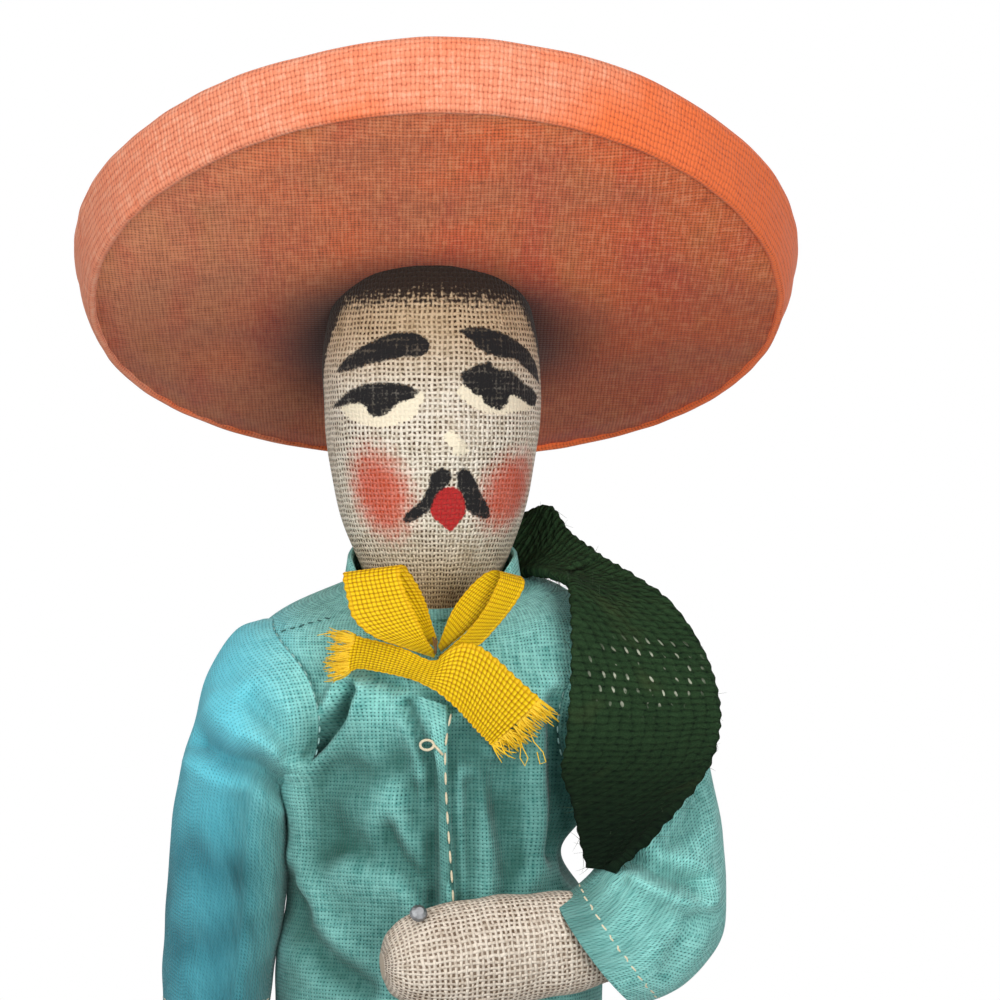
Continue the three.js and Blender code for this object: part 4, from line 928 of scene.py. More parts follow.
def on_shirt(spots, proud):
    """Places in the picture on the shirt's front, from the nearest points of its grid."""
    near = (np.cos(shirt_turn) > 0.02).ravel()
    points, facing = shirt_grid.reshape(-1, 3)[near], shirt_facing.reshape(-1, 3)[near]
    far = np.linalg.norm(shown(points)[None] - np.asarray(spots, float)[:, None], axis=-1)
    pick = np.argsort(far, axis=1)[:, :4]
    share = 1 / (np.take_along_axis(far, pick, 1) + 0.2)
    share /= share.sum(axis=1, keepdims=True)
    return ((points + facing * proud)[pick] * share[..., None]).sum(axis=1)


def on_trunk(spots, proud):
    """Places in the picture as points on the front of the trunk, standing proud by that much: the
    depth is guessed and mended until the point lies there."""
    across, down = np.moveaxis(np.asarray(spots, float), -1, 0)
    depth = np.full(across.shape, -14.0)
    for _ in range(6):
        point = seen(across, down, depth)
        half_a, half_b, middle = trunk_size(np.clip(point[..., 2] - HIP_Z, 1, 66))
        depth = middle - half_b * np.sqrt(np.maximum(1 - (point[..., 0] / half_a) ** 2, 0.05)) - proud
    return seen(across, down, depth)


def strands(name, lines, radius, material, sides=6):
    """Round threads along lines of points in millimetres, each closed at both ends."""
    lines = np.asarray(lines, float)
    count, steps = lines.shape[:2]
    along = unit(np.gradient(lines, axis=1))
    aside = unit(np.cross(along, [0.31, 0.87, 0.38]))
    other = np.cross(along, aside)
    angle = np.arange(sides) * (2 * np.pi / sides)
    thick = np.broadcast_to(np.asarray(radius, float), (count, steps))[..., None, None]
    rings = aside[:, :, None] * np.cos(angle)[:, None] + other[:, :, None] * np.sin(angle)[:, None]
    points = (lines[:, :, None] + rings * thick).reshape(-1, 3)
    index = np.arange(len(points)).reshape(count, steps, sides)
    after = np.roll(index, -1, axis=2)
    walls = np.stack([index[:, :-1], after[:, :-1], after[:, 1:], index[:, 1:]], -1).reshape(-1, 4)
    caps = np.concatenate([index[:, 0, ::-1], index[:, -1]])
    loops = np.concatenate([walls.ravel(), caps.ravel()])
    totals = np.concatenate([np.full(len(walls), 4), np.full(len(caps), sides)])
    uv = np.stack([np.tile(angle, count * steps), np.repeat(np.tile(np.arange(steps), count), sides)], -1)
    return meshed(name, points, loops, totals, uv[loops], material)


def running(points, length, space):
    """Short stitches along a line of points, five points to each."""
    run = lengths(points)
    starts = np.arange(0, run[-1] - length, length + space)
    return points_at(starts[:, None] + length * np.linspace(0, 1, 5), run, points)


def sew(name, points, length, space, radius, thread, body="torso"):
    """A row of running stitches along a line of points, each drawn thinner at its ends."""
    row = strands(name, running(points, length, space), radius * STITCH_TAPER, thread)
    dress(row, body, "thread")


cream_thread = mottled("cream_thread", srgb(240, 228, 200), srgb(206, 192, 158))
pale_thread = mottled("pale_thread", srgb(190, 226, 220), srgb(120, 178, 176))
teal_thread = mottled("teal_thread", srgb(70, 128, 122), srgb(24, 66, 66))
strip_rows = np.linspace(0, 1, STRIP_ROWS)[:, None]
strip_share = np.linspace(0, 1, STRIP_COLUMNS)
strip_edges = [profile_line(edge, STRIP_ROWS)[0][:, None] for edge in (STRIP_LEFT, STRIP_RIGHT)]
strip_proud = 1.0 + 0.7 * np.sin(np.pi * strip_share) ** 0.4 - 2.2 * (np.abs(strip_share - 0.5) > 0.46)
strip_proud = strip_proud + 0.06 * np.sin(strip_rows * 40)
strip_grid = on_trunk(mixed(*strip_edges, strip_share[:, None]), strip_proud)
strip_uv = together(strip_share * 3.0, strip_rows * 52)
strip = surface("shirt_front_strip", strip_grid, strip_uv, body_cotton, flip=True)
mark_fresh(strip, strip_grid + [0, 0, 7], -0.06)
dress(strip, "torso", "shirt_cotton", "shirt_placket")
sew("yoke_stitches", on_shirt(profile_line(YOKE_SEAM, 60)[0], 0.12), 0.9, 0.7, 0.12, teal_thread)
sew("strip_stitches", on_trunk(profile_line(STITCH_LINE, 90)[0], 1.72), 1.7, 1.0, 0.17, cream_thread)
loop_turn = np.linspace(0, 2 * np.pi, 25)
loop_spots = LOOP_AT + LOOP_SIZE * together(np.cos(loop_turn), np.sin(loop_turn))
loop_line = on_trunk(np.concatenate([loop_spots, LOOP_TAIL]), 1.85)
dress(strands("button_loop", loop_line[None], 0.2, cream_thread), "torso", "thread", "placket_loop")

# Sleeves: cotton tubes set into slanted armholes, full at the shoulder, creased at the armpit
# and elbow and hemmed with a row of cream stitches. The right one hangs, the left one is bent.
# Each ring has an outer and an inner point and how far its front and back lie from its middle.
SLEEVE_RIGHT = [
    [(-25.2, 0.5, 177.5), (-21.8, 0.5, 151.5), (7.2, -11.3, -1.2), (5.4, 9.6, 1.1)],
    [(-29.2, 0.2, 175.8), (-21.8, 0.3, 151.8), (5.0, -11.5, -1.0), (3.6, 10.2, 0.8)],
    [(-33.0, 0, 170.0), (-21.7, 0, 152.3), (2.2, -11.0, -0.5), (1.6, 10.2, 0.4)],
    [(-35.2, 0, 162.6), (-21.5, 0, 152.4), (0.6, -10.0, 0), (0.5, 9.6, 0)],
    [(-37.2, 0, 155.6), (-21.6, 0, 150.6), (0, -9.4, 0), (0, 9.2, 0)],
    [(-38.4, 0, 146.5), (-21.6, 0, 145.2), (0, -9.0, 0), (0, 8.8, 0)],
    [(-39.1, 0, 137.3), (-21.9, 0, 138.4), (0, -8.7, 0), (0, 8.5, 0)],
    [(-39.5, 0, 128), (-23.5, 0, 128), (0, -8.4, 0), (0, 8.2, 0)],
    [(-39.7, 0, 119.6), (-24.8, 0, 119.4), (0, -8.2, 0), (0, 8.0, 0)],
]
SLEEVE_LEFT = [
    [(25.2, 0.5, 177.5), (21.8, 0.5, 151.5), (-7.2, -11.3, -1.2), (-5.4, 9.6, 1.1)],
    [(28.4, 0.2, 175.4), (21.8, 0.3, 151.8), (-5.0, -11.5, -1.0), (-3.6, 10.2, 0.8)],
    [(32.6, -1, 169.6), (21.7, -0.6, 152.2), (-2.2, -10.8, 0.5), (-1.6, 10.2, -0.2)],
    [(36.4, -3.4, 162.4), (21.6, -3, 151.8), (-0.6, -9.4, 2.6), (-0.5, 9.4, -2.0)],
    [(38.9, -6.3, 153.6), (21.8, -6.3, 150.2), (0, -8.4, 4.0), (0, 8.6, -3.6)],
    [(39.9, -10.5, 144.2), (22.2, -10.5, 147.8), (0, -8.2, 3.8), (0, 8.2, -3.8)],
    [(39.4, -14.5, 134.6), (22.2, -14.0, 144.6), (0, -8.3, 1.6), (0, 7.8, -2.4)],
    [(34.0, -16.6, 127.8), (19.6, -16.6, 141.8), (-0.8, -8.0, 0), (0.8, 7.6, 0)],
    [(27.4, -18.0, 125.2), (16.4, -18.6, 139.9), (-1.0, -7.8, 0), (1.0, 7.2, 0)],
]
CREASES_RIGHT = [
    ([(196, 738), (226, 758), (258, 766), (284, 786)], 12, 1.9),
    ([(256, 700), (276, 726), (290, 752)], 10, 1.2),
    ([(214, 700), (238, 734), (272, 744)], 14, -0.9),
    ([(186, 850), (214, 872), (252, 880)], 15, 0.6),
    ([(176, 940), (212, 950), (254, 930)], 15, 0.6),
    ([(240, 800), (248, 850), (243, 905)], 15, 0.4),
]
CREASES_LEFT = [
    ([(620, 848), (656, 872), (694, 886)], 10, 2.1),
    ([(640, 880), (672, 897), (704, 900)], 10, -1.0),
    ([(704, 770), (692, 820), (664, 850)], 13, 1.1),
    ([(700, 905), (684, 940), (664, 968)], 10, 0.5),
    ([(612, 884), (640, 920), (662, 962)], 9, -0.4),
]
ELBOW_RIGHT, ELBOW_LEFT = np.array([-31.6, 0, 132.4]), np.array([31.6, -14.5, 136.1])
BEND_RIGHT, BEND_LEFT = np.array([-0.05, 0, -1.0]), np.array([-0.67, -0.57, -0.47])
SLEEVE_ROWS, SLEEVE_COLUMNS, SLEEVE_SPLIT, SLEEVE_FRONT = 150, 160, 93, 40
HEM_ROW = 10
sleeve_angle = np.linspace(0, 2 * np.pi, SLEEVE_COLUMNS + 1)


def sleeve_grid(rings, creases, side):
    """Rings of points from armhole to hem, and how far folds move them: through each ring's outer,
    front, inner and back points goes a closed curve, and the cloth is kept outside the shirt's
    body near the armhole and turned in at the hem."""
    rings = np.asarray(rings, float)
    rows = np.linspace(0, len(rings) - 1, SLEEVE_ROWS)
    outer, inner, fore, back = (smooth(rows, np.arange(len(rings)), rings[:, k])[:, None] for k in range(4))
    angle = sleeve_angle[:-1, None]
    middle = (outer + inner) / 2
    tube = (outer - inner) / 2 * np.cos(angle) + np.where(np.sin(angle) > 0, fore, -back) * np.sin(angle)
    grid, away = middle + tube, unit(tube)
    share = (rows / rows[-1])[:, None]
    folds = creased(grid, creases) * np.clip(-away[..., 1] * 2.5 - 0.6, 0, 1) * ease(share, 0.02, 0.1)
    folds += 0.1 * lumps(grid, 20 + side, 16) * ease(share, 0.02, 0.12) * (1 - 0.5 * ease(share, 0.9, 1))
    grid = grid + away * folds[..., None]
    half_a, half_b, mid = trunk_size(np.clip(grid[..., 2] - HIP_Z, 1.5, 69))
    aside = grid[..., :2] - together(0.0, mid)
    reach = np.hypot(aside[..., 0] / (half_a + 0.4), aside[..., 1] / (half_b + 0.4))
    push = np.where(share < 0.004, 1 / reach, np.maximum(1 / reach, 1)) - 1
    grid[..., :2] += aside * (push * (1 - ease(share, 0.1, 0.3)))[..., None]
    hem = middle[-1] + (grid[-1] - middle[-1]) * 0.965
    hem_rings = [hem, hem + (grid[-6] - grid[-1]) * 0.5, hem + grid[-9] - grid[-1]]
    return np.concatenate([grid, hem_rings]), np.concatenate([folds, np.zeros_like(folds[:3])])


for side, sign, rings, creases, elbow, bend, bend_run, armhole_run, hem_lean in (
    ("right", -1, SLEEVE_RIGHT, CREASES_RIGHT, ELBOW_RIGHT, BEND_RIGHT, (-7, 5), (-3, 4.2), 0),
    ("left", 1, SLEEVE_LEFT, CREASES_LEFT, ELBOW_LEFT, BEND_LEFT, (-1.5, 5.5), (-3, 3.0), 9),
):
    grid, folded = sleeve_grid(rings, creases, sign)
    facing = normals_of(grid, True) * -sign
    uv = cloth_uv(np.concatenate([grid, grid[:, :1]], 1), SLEEVE_FRONT) * [sign, -1]
    armhole, outward = np.array([sign * 22, 0, 154.0]), np.array([sign * 0.9, 0, -0.44])
    upper, lower = f"{side}_upper_arm", f"{side}_forearm"
    for part, rows, flat_size, cut, bodies, node, at, way, run in (
        ("head", slice(0, SLEEVE_SPLIT + 1), (0.062, 0.038), 0.0015, ("torso", upper), f"upper_arm_{side}",
         armhole, outward, armhole_run),
        ("arm", slice(SLEEVE_SPLIT, None), (0.054, 0.027), None, (upper, lower), f"sleeve_{side}",
         elbow, bend, bend_run),
    ):
        name = f"sleeve_{part}_{side}"
        piece = surface(name, grid[rows], uv[rows], body_cotton, around=True, flip=sign > 0)
        face_as(piece, facing[rows])
        mark_fresh(piece, grid[rows], in_folds(folded[rows] * 0.5))
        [placed(at + way * far) for far in run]
        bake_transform(piece)
        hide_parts(node)
    seam_columns = np.arange(-12, 62) % SLEEVE_COLUMNS
    seam = grid[0, seam_columns] + facing[2, seam_columns] * 0.25
    sew(f"armhole_stitches_{side}", seam, 0.9, 0.75, 0.13, pale_thread)
    lean = hem_lean * (0.5 - 0.5 * np.cos(sleeve_angle[:-1]))
    hem_rows = SLEEVE_ROWS - np.round(HEM_ROW + lean).astype(int)
    hem_line = (grid + facing * 0.14)[hem_rows, np.arange(SLEEVE_COLUMNS)]
    sew(f"hem_stitches_{side}", np.roll(hem_line, SLEEVE_FRONT, axis=0), 1.5, 0.3, 0.2, cream_thread, lower)

# Forearms and hands: gauze drawn over wadding in a blunt mitten shape, from the elbow inside the
# sleeve to the rounded end. The pin through the left hand is the frame's own.
FOREARM_RUN = [2, 6, 10, 14, 20, 25, 30, 33.5, 36.5, 38.6, 39.9, 40.6]
FOREARM_A = [4.8, 5.6, 6.4, 6.9, 7.3, 7.5, 7.4, 7.0, 6.2, 5.0, 3.6, 1.8]
FOREARM_B = [4.6, 4.9, 5.2, 5.5, 5.7, 5.7, 5.6, 5.3, 4.8, 3.9, 2.8, 1.4]
FOREARM_COLUMNS = 140
REACH_RIGHT, REACH_LEFT = np.array([-0.02, 0, -1.0]), np.array([-0.95874, -0.2716, -0.08395])
arm_gauze = gauze("arm_gauze", (srgb(194, 176, 156), srgb(242, 229, 212)), srgb(100, 80, 62))


def stuffed(name, grid, uv, body, node, flip=False):
    """A closed limb of gauze over wadding, in place of a solid."""
    limb = surface(name, grid, uv, arm_gauze, around=True, ends=(True, True), flip=flip)
    dress(limb, body, "gauze", node)


def forearm(side, elbow, way, up):
    """A blunt limb from the elbow along a way, its broad side along up."""
    way = unit(way)
    up = unit(up - way * (up @ way))
    angle = np.linspace(0, 2 * np.pi, FOREARM_COLUMNS + 1)
    cosine, sine = np.cos(angle[:-1]), np.sin(angle[:-1])
    at = np.concatenate([np.linspace(2, 35, 100), np.linspace(35.2, 40.6, 34)])[:, None]
    half_a, half_b = (smooth(at, FOREARM_RUN, half) for half in (FOREARM_A, FOREARM_B))
    swell = 1 + 0.02 * lumps(together(at, 7 * cosine, 7 * sine), 30, 12)
    grid = (elbow + way * at[..., None] + up * (half_a * swell * cosine)[..., None]
            + np.cross(way, up) * (half_b * swell * sine)[..., None])
    uv = together(angle * 6.6, lengths(np.hstack([at, half_a]))[:, None])
    stuffed(f"hand_gauze_{side}", grid, uv, f"{side}_forearm", f"forearm_{side}")


forearm("right", ELBOW_RIGHT, REACH_RIGHT, np.array([-1.0, 0, 0]))
forearm("left", ELBOW_LEFT - [0, 0, 1.0], REACH_LEFT, np.array([0.0, 0, 1.0]))

# Bow: one shiny yellow ribbon in basket weave, folded into two loops and two frayed tails laid
# across the neckline and caught in the middle by a brown stitch. Edges are places in the picture,
# and each place has a depth.
RIBBON_W = 8.0
RIBBON_PITCH = 0.62
RIBBON_ROWS, RIBBON_COLUMNS = 170, 25
LOOPS = {
    "tie_loop_right": (
        [(436, 648), (404, 628), (374, 606), (352, 584), (345, 572), (343, 579), (347, 598), (353, 618),
         (372, 636), (404, 648), (434, 658)],
        [(438, 642), (431, 620), (426, 603), (417, 584), (404, 565), (400, 571), (405, 590), (412, 606),
         (419, 622), (427, 640), (436, 653)],
    ),
    "tie_loop_left": (
        [(438, 646), (451, 613), (467, 590), (484, 574), (497, 570), (500, 576), (495, 588), (486, 606),
         (470, 628), (452, 645), (438, 657)],
        [(441, 652), (468, 630), (492, 604), (508, 588), (519, 576), (525, 583), (520, 596), (510, 611),
         (496, 628), (478, 646), (444, 664)],
    ),
}
LOOP_DEPTH = [-17.2, -16.2, -15.6, -15.4, -16.4, -17.9, -18.6, -18.9, -18.9, -18.7, -18.4]
TAIL_UPPER = [(352, 634), (365, 638), (382, 642), (405, 649), (424, 658), (436, 660), (448, 650),
              (463, 643), (479, 646), (496, 658), (511, 672), (526, 686), (541, 699)]
TAIL_LOWER = [(346, 674), (358, 669), (374, 671), (394, 675), (413, 680), (426, 686), (437, 692),
              (447, 700), (458, 710), (468, 721), (477, 731), (485, 739), (492, 746)]
TAIL_DEPTH = [-14.8, -15.8, -17, -18.4, -19.3, -19.6, -19.6, -19.4, -18.8, -18, -17.2, -16.4, -15.6]
FRAYS = {
    "fray_right": (41, [(356, 634, -15.2), (350, 673, -15)], [(331, 630, -14), (326, 679, -14.2)]),
    "fray_left": (42, [(540, 699, -15.7), (491, 746, -15.6)], [(559, 714, -14.6), (508, 757, -14.8)]),
}
FRAY_COUNT = 110
DANGLES = [[(528, 728), (534, 742), (543, 752), (546, 762), (540, 764), (537, 752)],
           [(518, 734), (523, 748), (528, 758), (525, 766), (520, 758), (521, 744)]]
DANGLE_DEPTH = -15.0
CATCH = [[(433, 637), (434, 642), (435, 648), (436, 653)], [(436, 638), (436, 643), (436, 649), (435, 654)]]
CATCH_DEPTH = -19.0


def ribbon_cloth():
    """Basket weave of flat shiny yarn, darker gold in its hollows as painted shade, with painted
    highlights on its crowns and a firm edge.
    """
    material, shader, place = new_material("ribbon", roughness=0.5, Specular_IOR_Level=0.28)
    height, _, tone_and_shade = weave(place, RIBBON_PITCH, RIBBON_PITCH, 1.02, 0.05)
    # Painted shade: darker gold where the weave is low.
    colour = height.rise(0.15, 0.9).between(srgb(186, 122, 0), srgb(255, 211, 0))
    off_middle = (place.part(0) - RIBBON_W / 2).math("ABSOLUTE")
    selvedge = off_middle.rise(RIBBON_W / 2 - 0.8, RIBBON_W / 2 - 0.55)
    colour = colour.tint(srgb(240, 182, 0), selvedge * 0.55)
    # Painted highlights on the threads' crowns, uneven at random.
    colour = colour.tint(srgb(255, 232, 40), tone_and_shade.rise(0.6, 0.95) * 0.4)
    put_on(shader, colour, height + selvedge * 0.6, 0.26)
    return material


def ribbon(name, one, other, depth, *nodes):
    """A strip ruled between two edges, each a smooth line through places in the picture."""
    knots = np.arange(len(depth))
    at = np.linspace(0, len(depth) - 1, RIBBON_ROWS)
    deep = smooth(at, knots, depth)
    edges = [seen(*smooth(at, knots, edge).T, deep) for edge in (one, other)]
    run = lengths((edges[0] + edges[1]) / 2)
    share = np.linspace(0, 1, RIBBON_COLUMNS)
    scallop = 0.011 * np.cos(run * (np.pi / RIBBON_PITCH))[:, None] * (np.abs(share - 0.5) > 0.47)
    across = (share + scallop * np.sign(share - 0.5))[..., None]
    grid = mixed(edges[0][:, None], edges[1][:, None], across)
    grid[..., 1] -= 0.35 * np.sin(np.pi * share)
    uv = together(share * RIBBON_W, run[:, None])
    dress(surface(name, grid, uv, ribbon_yarn, flip=True), "torso", "ribbon", *nodes)


def frayed(name, seed, starts, ends):
    """Loose ends of yarn from along one line to near another, each a little crooked."""
    random = np.random.default_rng(seed)
    share = np.sort(random.uniform(0, 1, FRAY_COUNT))[:, None]
    start, end = (mixed(*seen(*np.transpose(line)), share) for line in (starts, ends))
    end = start + (end - start) * random.uniform(0.65, 1.1, (FRAY_COUNT, 1))
    end = end + random.normal(0, [0.5, 0.3, 0.5], (FRAY_COUNT, 3))
    t = np.linspace(0, 1, 7)[:, None]
    lines = mixed(start[:, None], end[:, None], t)
    lines = lines + random.normal(0, 0.22, (FRAY_COUNT, 1, 3)) * np.sin(np.pi * t)
    dress(strands(name, lines, np.linspace(0.15, 0.06, 7), fray_yarn, sides=5), "torso", "ribbon")


ribbon_yarn = ribbon_cloth()
fray_yarn = mottled("ribbon_yarn", srgb(255, 216, 40), srgb(230, 182, 16), roughness=0.5)
brown_thread = mottled("brown_thread", srgb(120, 82, 30), srgb(70, 46, 16))
for node, (one, other) in LOOPS.items():
    ribbon(node + "_ribbon", one, other, LOOP_DEPTH, node)
ribbon("tie_tail_ribbon", TAIL_UPPER, TAIL_LOWER, TAIL_DEPTH, "tie_tail_right", "tie_tail_left", "tie_knot")
for name, (seed, starts, ends) in FRAYS.items():
    frayed(name, seed, starts, ends)
dangle_lines = seen(*np.moveaxis(np.array(DANGLES, float), -1, 0), DANGLE_DEPTH)
dress(strands("fray_threads", dangle_lines, 0.08, fray_yarn, sides=5), "torso", "ribbon")
catch_lines = seen(*np.moveaxis(np.array(CATCH, float), -1, 0), CATCH_DEPTH)
dress(strands("bow_stitch", catch_lines, 0.16, brown_thread), "torso", "thread", "tie_stitch")

# Serape: a strip of coarse dark green wool laid over the left shoulder, one end in front of the
# arm and the other down the back. Its edges are whipped, its weave lets light through in places
# and it is fuzzy. In front its edges are places in the picture and depths.
SERAPE_T = 1.5
SERAPE_ROWS, SERAPE_COLUMNS = 260, 61
WOOL_PITCH = 1.75
WHIP_PITCH = 1.9
SERAPE_INNER = [(587, 868, -18.5), (580, 840, -18.0), (572, 802, -16.8), (562, 772, -15.8),
                (566, 745, -15.4), (570, 704, -15), (572, 662, -14.4), (572, 622, -13.2), (570, 590, -11),
                (566, 579, -8), (549, 574, -3), (528, 573, 4), (506, 577, 11)]
SERAPE_OUTER = [(612, 868, -21.7), (649, 838, -22.4), (681, 803, -21.3), (705, 773, -19.2),
                (717, 742, -17), (720, 710, -15), (713, 674, -12.6), (698, 640, -10), (672, 604, -6.8),
                (638, 579, -2.6), (602, 557, 3), (570, 532, 8.6), (549, 506, 13)]
SERAPE_BACK = [
    [(0, 17.2, 186.5), (11.5, 19, 191)],
    [(-8, 17.4, 180), (6.5, 19.6, 184)],
    [(-13, 15.8, 168), (6, 17, 170)],
    [(-15, 15.4, 150), (6.5, 16, 150)],
    [(-15, 15.6, 130), (7, 16, 130)],
]
STRETCHED_AT, STRETCHED_SIZE = (645, 675), (62, 40)
HAIRS, HAIR_ROWS = 900, 190


def wool_cloth():
    """Coarse weft-faced wool with painted shade in its hollows, a dark low end and, where it is
    stretched, pinholes of light."""
    material, shader, place = new_material("green_wool", roughness=1.0, Specular_IOR_Level=0.1)
    height, _, tone_and_shade = weave(place, WOOL_PITCH, WOOL_PITCH * 0.55, 1.02, 0.2)
    fibre = place.noise(5.0, 4.0)
    colour = (tone_and_shade * 0.55 + fibre * 0.45).rise(0.25, 0.75).between(srgb(16, 36, 23), srgb(50, 76, 47))
    # Painted shade in the hollows of the weave.
    colour = colour.tint(srgb(12, 22, 15), (1 - height.rise(0.05, 0.6)) * 0.55)
    colour = colour.tint(srgb(84, 92, 56), place.noise(0.12).rise(0.56, 0.75) * 0.25)
    rank = place.part(1) / 1.9
    file = place.part(0) / 1.8 + rank.math("FLOOR") * 0.5 + place.noise(0.3) * 0.6
    near = ((file.math("FRACT") - 0.5) * 9.6) ** 2 + ((rank.math("FRACT") - 0.5) * 4.6) ** 2
    pinhole = (1 - near.rise(0.5, 1.5)) * mask(place, "stretched").rise(0.25, 0.7)
    colour = colour.tint(srgb(196, 202, 180), pinhole * place.noise(0.5).rise(0.44, 0.56))
    colour = colour.tint(srgb(8, 20, 13), (1 - place.part(1).rise(4.0, 28.0)) * 0.82)
    put_on(shader, colour, height + fibre * 0.4, 0.7)
    return material


back_edges = np.array(SERAPE_BACK, float)
serape_edges = [np.concatenate([seen(*np.transpose(edge)), back_edges[:, k]])
                for k, edge in enumerate((SERAPE_INNER, SERAPE_OUTER))]
serape_knots = np.arange(len(serape_edges[0]))
serape_at = np.linspace(0, serape_knots[-1], SERAPE_ROWS)
inner_edge, outer_edge = (smooth(serape_at, serape_knots, edge)[:, None] for edge in serape_edges)
wool_share = np.linspace(0, 1, SERAPE_COLUMNS)
serape_mid = mixed(inner_edge, outer_edge, wool_share[:, None])
swell = np.sin(np.pi * wool_share) * np.where(serape_at < 10, 1.3, 0.6)[:, None]
serape_mid -= normals_of(serape_mid, False) * swell[..., None]
serape_run = lengths(serape_mid.mean(axis=1))[:, None]
serape_wide = np.linalg.norm(np.diff(serape_mid, axis=1), axis=-1).sum(axis=1)[:, None]
serape_out = -normals_of(serape_mid, False)
edge_near = np.minimum(wool_share, 1 - wool_share) * serape_wide
whipped = 0.14 * np.exp(-((edge_near / 1.1) ** 2)) * (1 + np.cos(serape_run * (2 * np.pi / WHIP_PITCH)))
half_t = SERAPE_T / 2 * np.sqrt(1 - np.abs(2 * wool_share - 1) ** 12) + whipped * 0.5
half_t = (half_t + 0.12 * lumps(serape_mid, 51, 3.0))[..., None]
serape_mid += unit(outer_edge - inner_edge) * (np.sign(wool_share - 0.5) * whipped * 0.8)[..., None]
front_face, back_face = serape_mid + serape_out * half_t, serape_mid - serape_out * half_t
serape_grid = np.concatenate([front_face, back_face[:, -2:0:-1]], 1)
wool_u = wool_share * serape_wide
serape_u = np.concatenate([wool_u, 2 * serape_wide - wool_u[:, -2:0:-1], 2 * serape_wide], 1)
serape = surface("serape_wool", serape_grid, together(serape_u, serape_run), wool_cloth(), around=True,
                 ends=(True, True))
stretched = bulge(shown(serape_grid), STRETCHED_AT, STRETCHED_SIZE, 1.0) * (serape_grid[..., 1] < 0)
store(serape, stretched=np.concatenate([stretched.ravel(), [0, 0]]))
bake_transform(serape)
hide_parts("serape")
random = np.random.default_rng(52)
roots = random.integers(0, HAIR_ROWS, HAIRS), random.integers(0, SERAPE_COLUMNS, HAIRS)
hair_way = serape_out[roots] * 0.5 + random.normal(0, 0.75, (HAIRS, 3))
hair_way *= random.uniform(0.7, 2.0, (HAIRS, 1))
hair_step = np.linspace(0, 1, 5)[:, None]
hair_lines = front_face[roots][:, None] + hair_way[:, None] * hair_step
hair_lines = hair_lines + random.normal(0, 0.5, (HAIRS, 1, 3)) * hair_step**2
wool_hair = mottled("wool_hair", srgb(72, 92, 62), srgb(32, 54, 34))
hairs = strands("serape_fuzz", hair_lines, np.linspace(0.035, 0.012, 5), wool_hair, sides=3)
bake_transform(hairs)

# Trousers: dark maroon cotton, each half a leg and its side of the seat, sewn down the middle,
# and below the picture.
TROUSER_TOP, TROUSER_SPLIT, TROUSER_HEM = 121.5, 88.0, 17.0
SEAT_ROWS, LEG_ROWS, LEG_COLUMNS = 61, 120, 120
LEG_X, LEG_Y, KNEE_Z = 11.6, 2.0, 62
SEAT_A, SEAT_B = 21.7, 13.9
LEG_UP = [17, 33, 61.5, 83.8, 106, 122]
LEG_SIZE = [(9.2, 9.2), (8.7, 9), (9.2, 9.8), (9.8, 11), (10, 12), (10, 12)]
HEM_UP, HEM_IN = [17, 19, 22], [0.5, 0.7, 0.7]
maroon = cotton("trouser_cotton", srgb(106, 44, 48), srgb(70, 26, 32), srgb(28, 10, 13), pitch=0.55)
trouser_z = np.concatenate([np.linspace(TROUSER_TOP, TROUSER_SPLIT, SEAT_ROWS),
                            np.linspace(TROUSER_SPLIT, TROUSER_HEM, LEG_ROWS)[1:], HEM_UP])
hem_in = np.concatenate([np.zeros(len(trouser_z) - len(HEM_IN)), HEM_IN])[:, None]
leg_turn = np.linspace(0, 2 * np.pi, LEG_COLUMNS + 1)
leg_sine, leg_cosine, high = np.sin(leg_turn[:-1]), np.cos(leg_turn[:-1]), trouser_z[:, None]
leg_a, leg_b = np.moveaxis(smooth(trouser_z, LEG_UP, LEG_SIZE), -1, 0)[..., None] - hem_in
leg = together(LEG_X + leg_a * leg_sine, -leg_b * leg_cosine, high)
low_seat = 0.8 + 0.2 * ease(high, 98, 112)
seat = together(np.maximum(SEAT_A * low_seat * leg_sine, 0.25), -SEAT_B * low_seat * leg_cosine, high)
smooth_leg = mixed(leg, seat, ease(high, 92, 107)[..., None])
leg_out = together(leg_sine, -leg_cosine, 0.0)
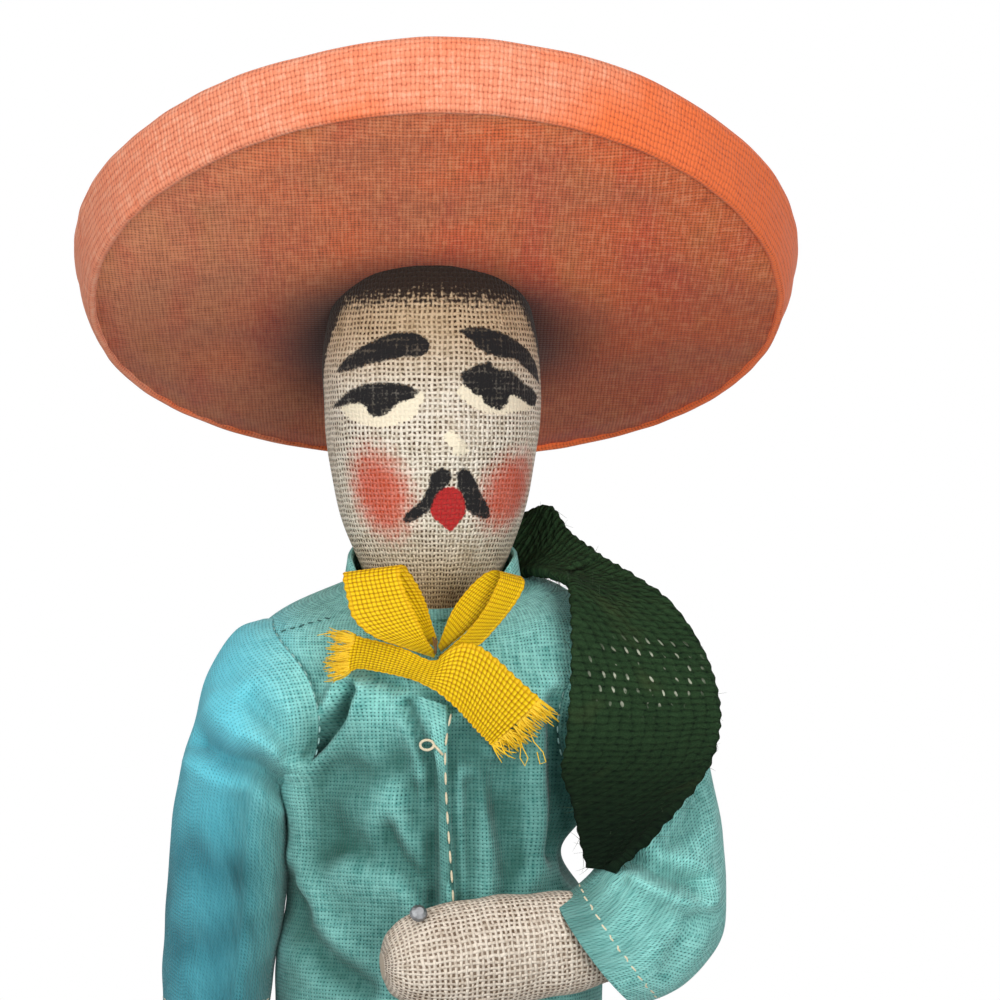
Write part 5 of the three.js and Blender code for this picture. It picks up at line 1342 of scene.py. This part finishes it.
for side, sign in (("right", -1), ("left", 1)):
    folds = 0.4 * lumps(smooth_leg + [40 * sign, 0, 0], 60 + sign, 15)
    folds += 0.3 * np.sin(5 * leg_turn[:-1] + high * 0.1)
    folds += 0.5 * np.sin(high * 0.9 + leg_cosine) * np.exp(-(((high - KNEE_Z) / 7) ** 2))
    folds *= (1 - 0.8 * ease(high, 100, 112)) * np.where(leg_sine < -0.2, 1 - ease(high, 90, 100), 1)
    cloth = (smooth_leg + leg_out * folds[..., None]) * [sign, 1, 1]
    facing = normals_of(cloth, True) * -sign
    uv = together(leg_turn * 9.6 * sign, high - TROUSER_TOP)
    thigh, shin = f"{side}_thigh", f"{side}_shin"
    for part, rows, flat_size, bodies, node, bend in (
        ("seat", slice(0, SEAT_ROWS), (0.066, 0.036), ("torso", thigh), f"thigh_{side}", (114, 92)),
        ("leg", slice(SEAT_ROWS - 1, None), (0.062, 0.076), (thigh, shin), f"trousers_{side}", (71, 53)),
    ):
        name = f"trouser_{part}_{side}"
        piece = surface(name, cloth[rows], uv[rows], maroon, around=True, flip=sign > 0)
        face_as(piece, facing[rows])
        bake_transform(piece)
        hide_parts(node)

# Legs and feet: gauze over wadding, in sandals of one leather sole and one leather strap, which
# are the frame's own. A foot's sizes are half its width, its middle's height and half its height.
FOOT_AT = [7.5, 6.6, 4.0, 0, -4, -10, -17, -19.6, -20.5]
FOOT_SIZE = [(0.6, 5.2, 0.7), (2.2, 6.4, 3.2), (4.5, 8.2, 5.7), (4.8, 8.56, 6.06), (5.0, 7.6, 5.1),
             (5.2, 6.1, 3.6), (5.0, 5.1, 2.6), (3.2, 4.8, 1.7), (0.8, 4.7, 0.5)]
SHIN_AT, SHIN_R = [67, 62, 48, 27, 16, 8], [3.6, 5.0, 5.6, 4.3, 4.2, 4.0]
SHIN_ROWS, LIMB_COLUMNS = 90, 96
leather = mottled("leather", srgb(116, 76, 46), srgb(72, 44, 26), 0.6, 0.7, 4.0, dents=0.15, solid=True)
limb_turn = np.linspace(0, 2 * np.pi, LIMB_COLUMNS + 1)
limb_sine, limb_cosine = np.sin(limb_turn[:-1]), np.cos(limb_turn[:-1])
shin_z = np.linspace(SHIN_AT[0], SHIN_AT[-1], SHIN_ROWS)[:, None]
shin_r = smooth(-shin_z, -np.array(SHIN_AT), SHIN_R)
foot_y = np.concatenate([np.linspace(7.5, 5, 20), np.linspace(4.8, -17, 50), np.linspace(-17.2, -20.5, 24)])
foot_a, foot_z, foot_h = np.moveaxis(smooth(-foot_y, -np.array(FOOT_AT), FOOT_SIZE), -1, 0)[..., None]
for side, sign in (("right", -1), ("left", 1)):
    shin = together(sign * LEG_X + shin_r * limb_sine, LEG_Y - shin_r * limb_cosine, shin_z)
    foot = together(sign * LEG_X + foot_a * limb_sine, foot_y[:, None], foot_z - foot_h * limb_cosine)
    for limb, grid, at in (("shin", shin, shin_z), ("foot", foot, foot_y[:, None])):
        uv = together(limb_turn * 5, -at)
        stuffed(f"{limb}_gauze_{side}", grid, uv, f"{side}_shin", f"{limb}_{side}", flip=True)
    refinish(leather, f"sole_{side}", f"sandal_strap_{side}")
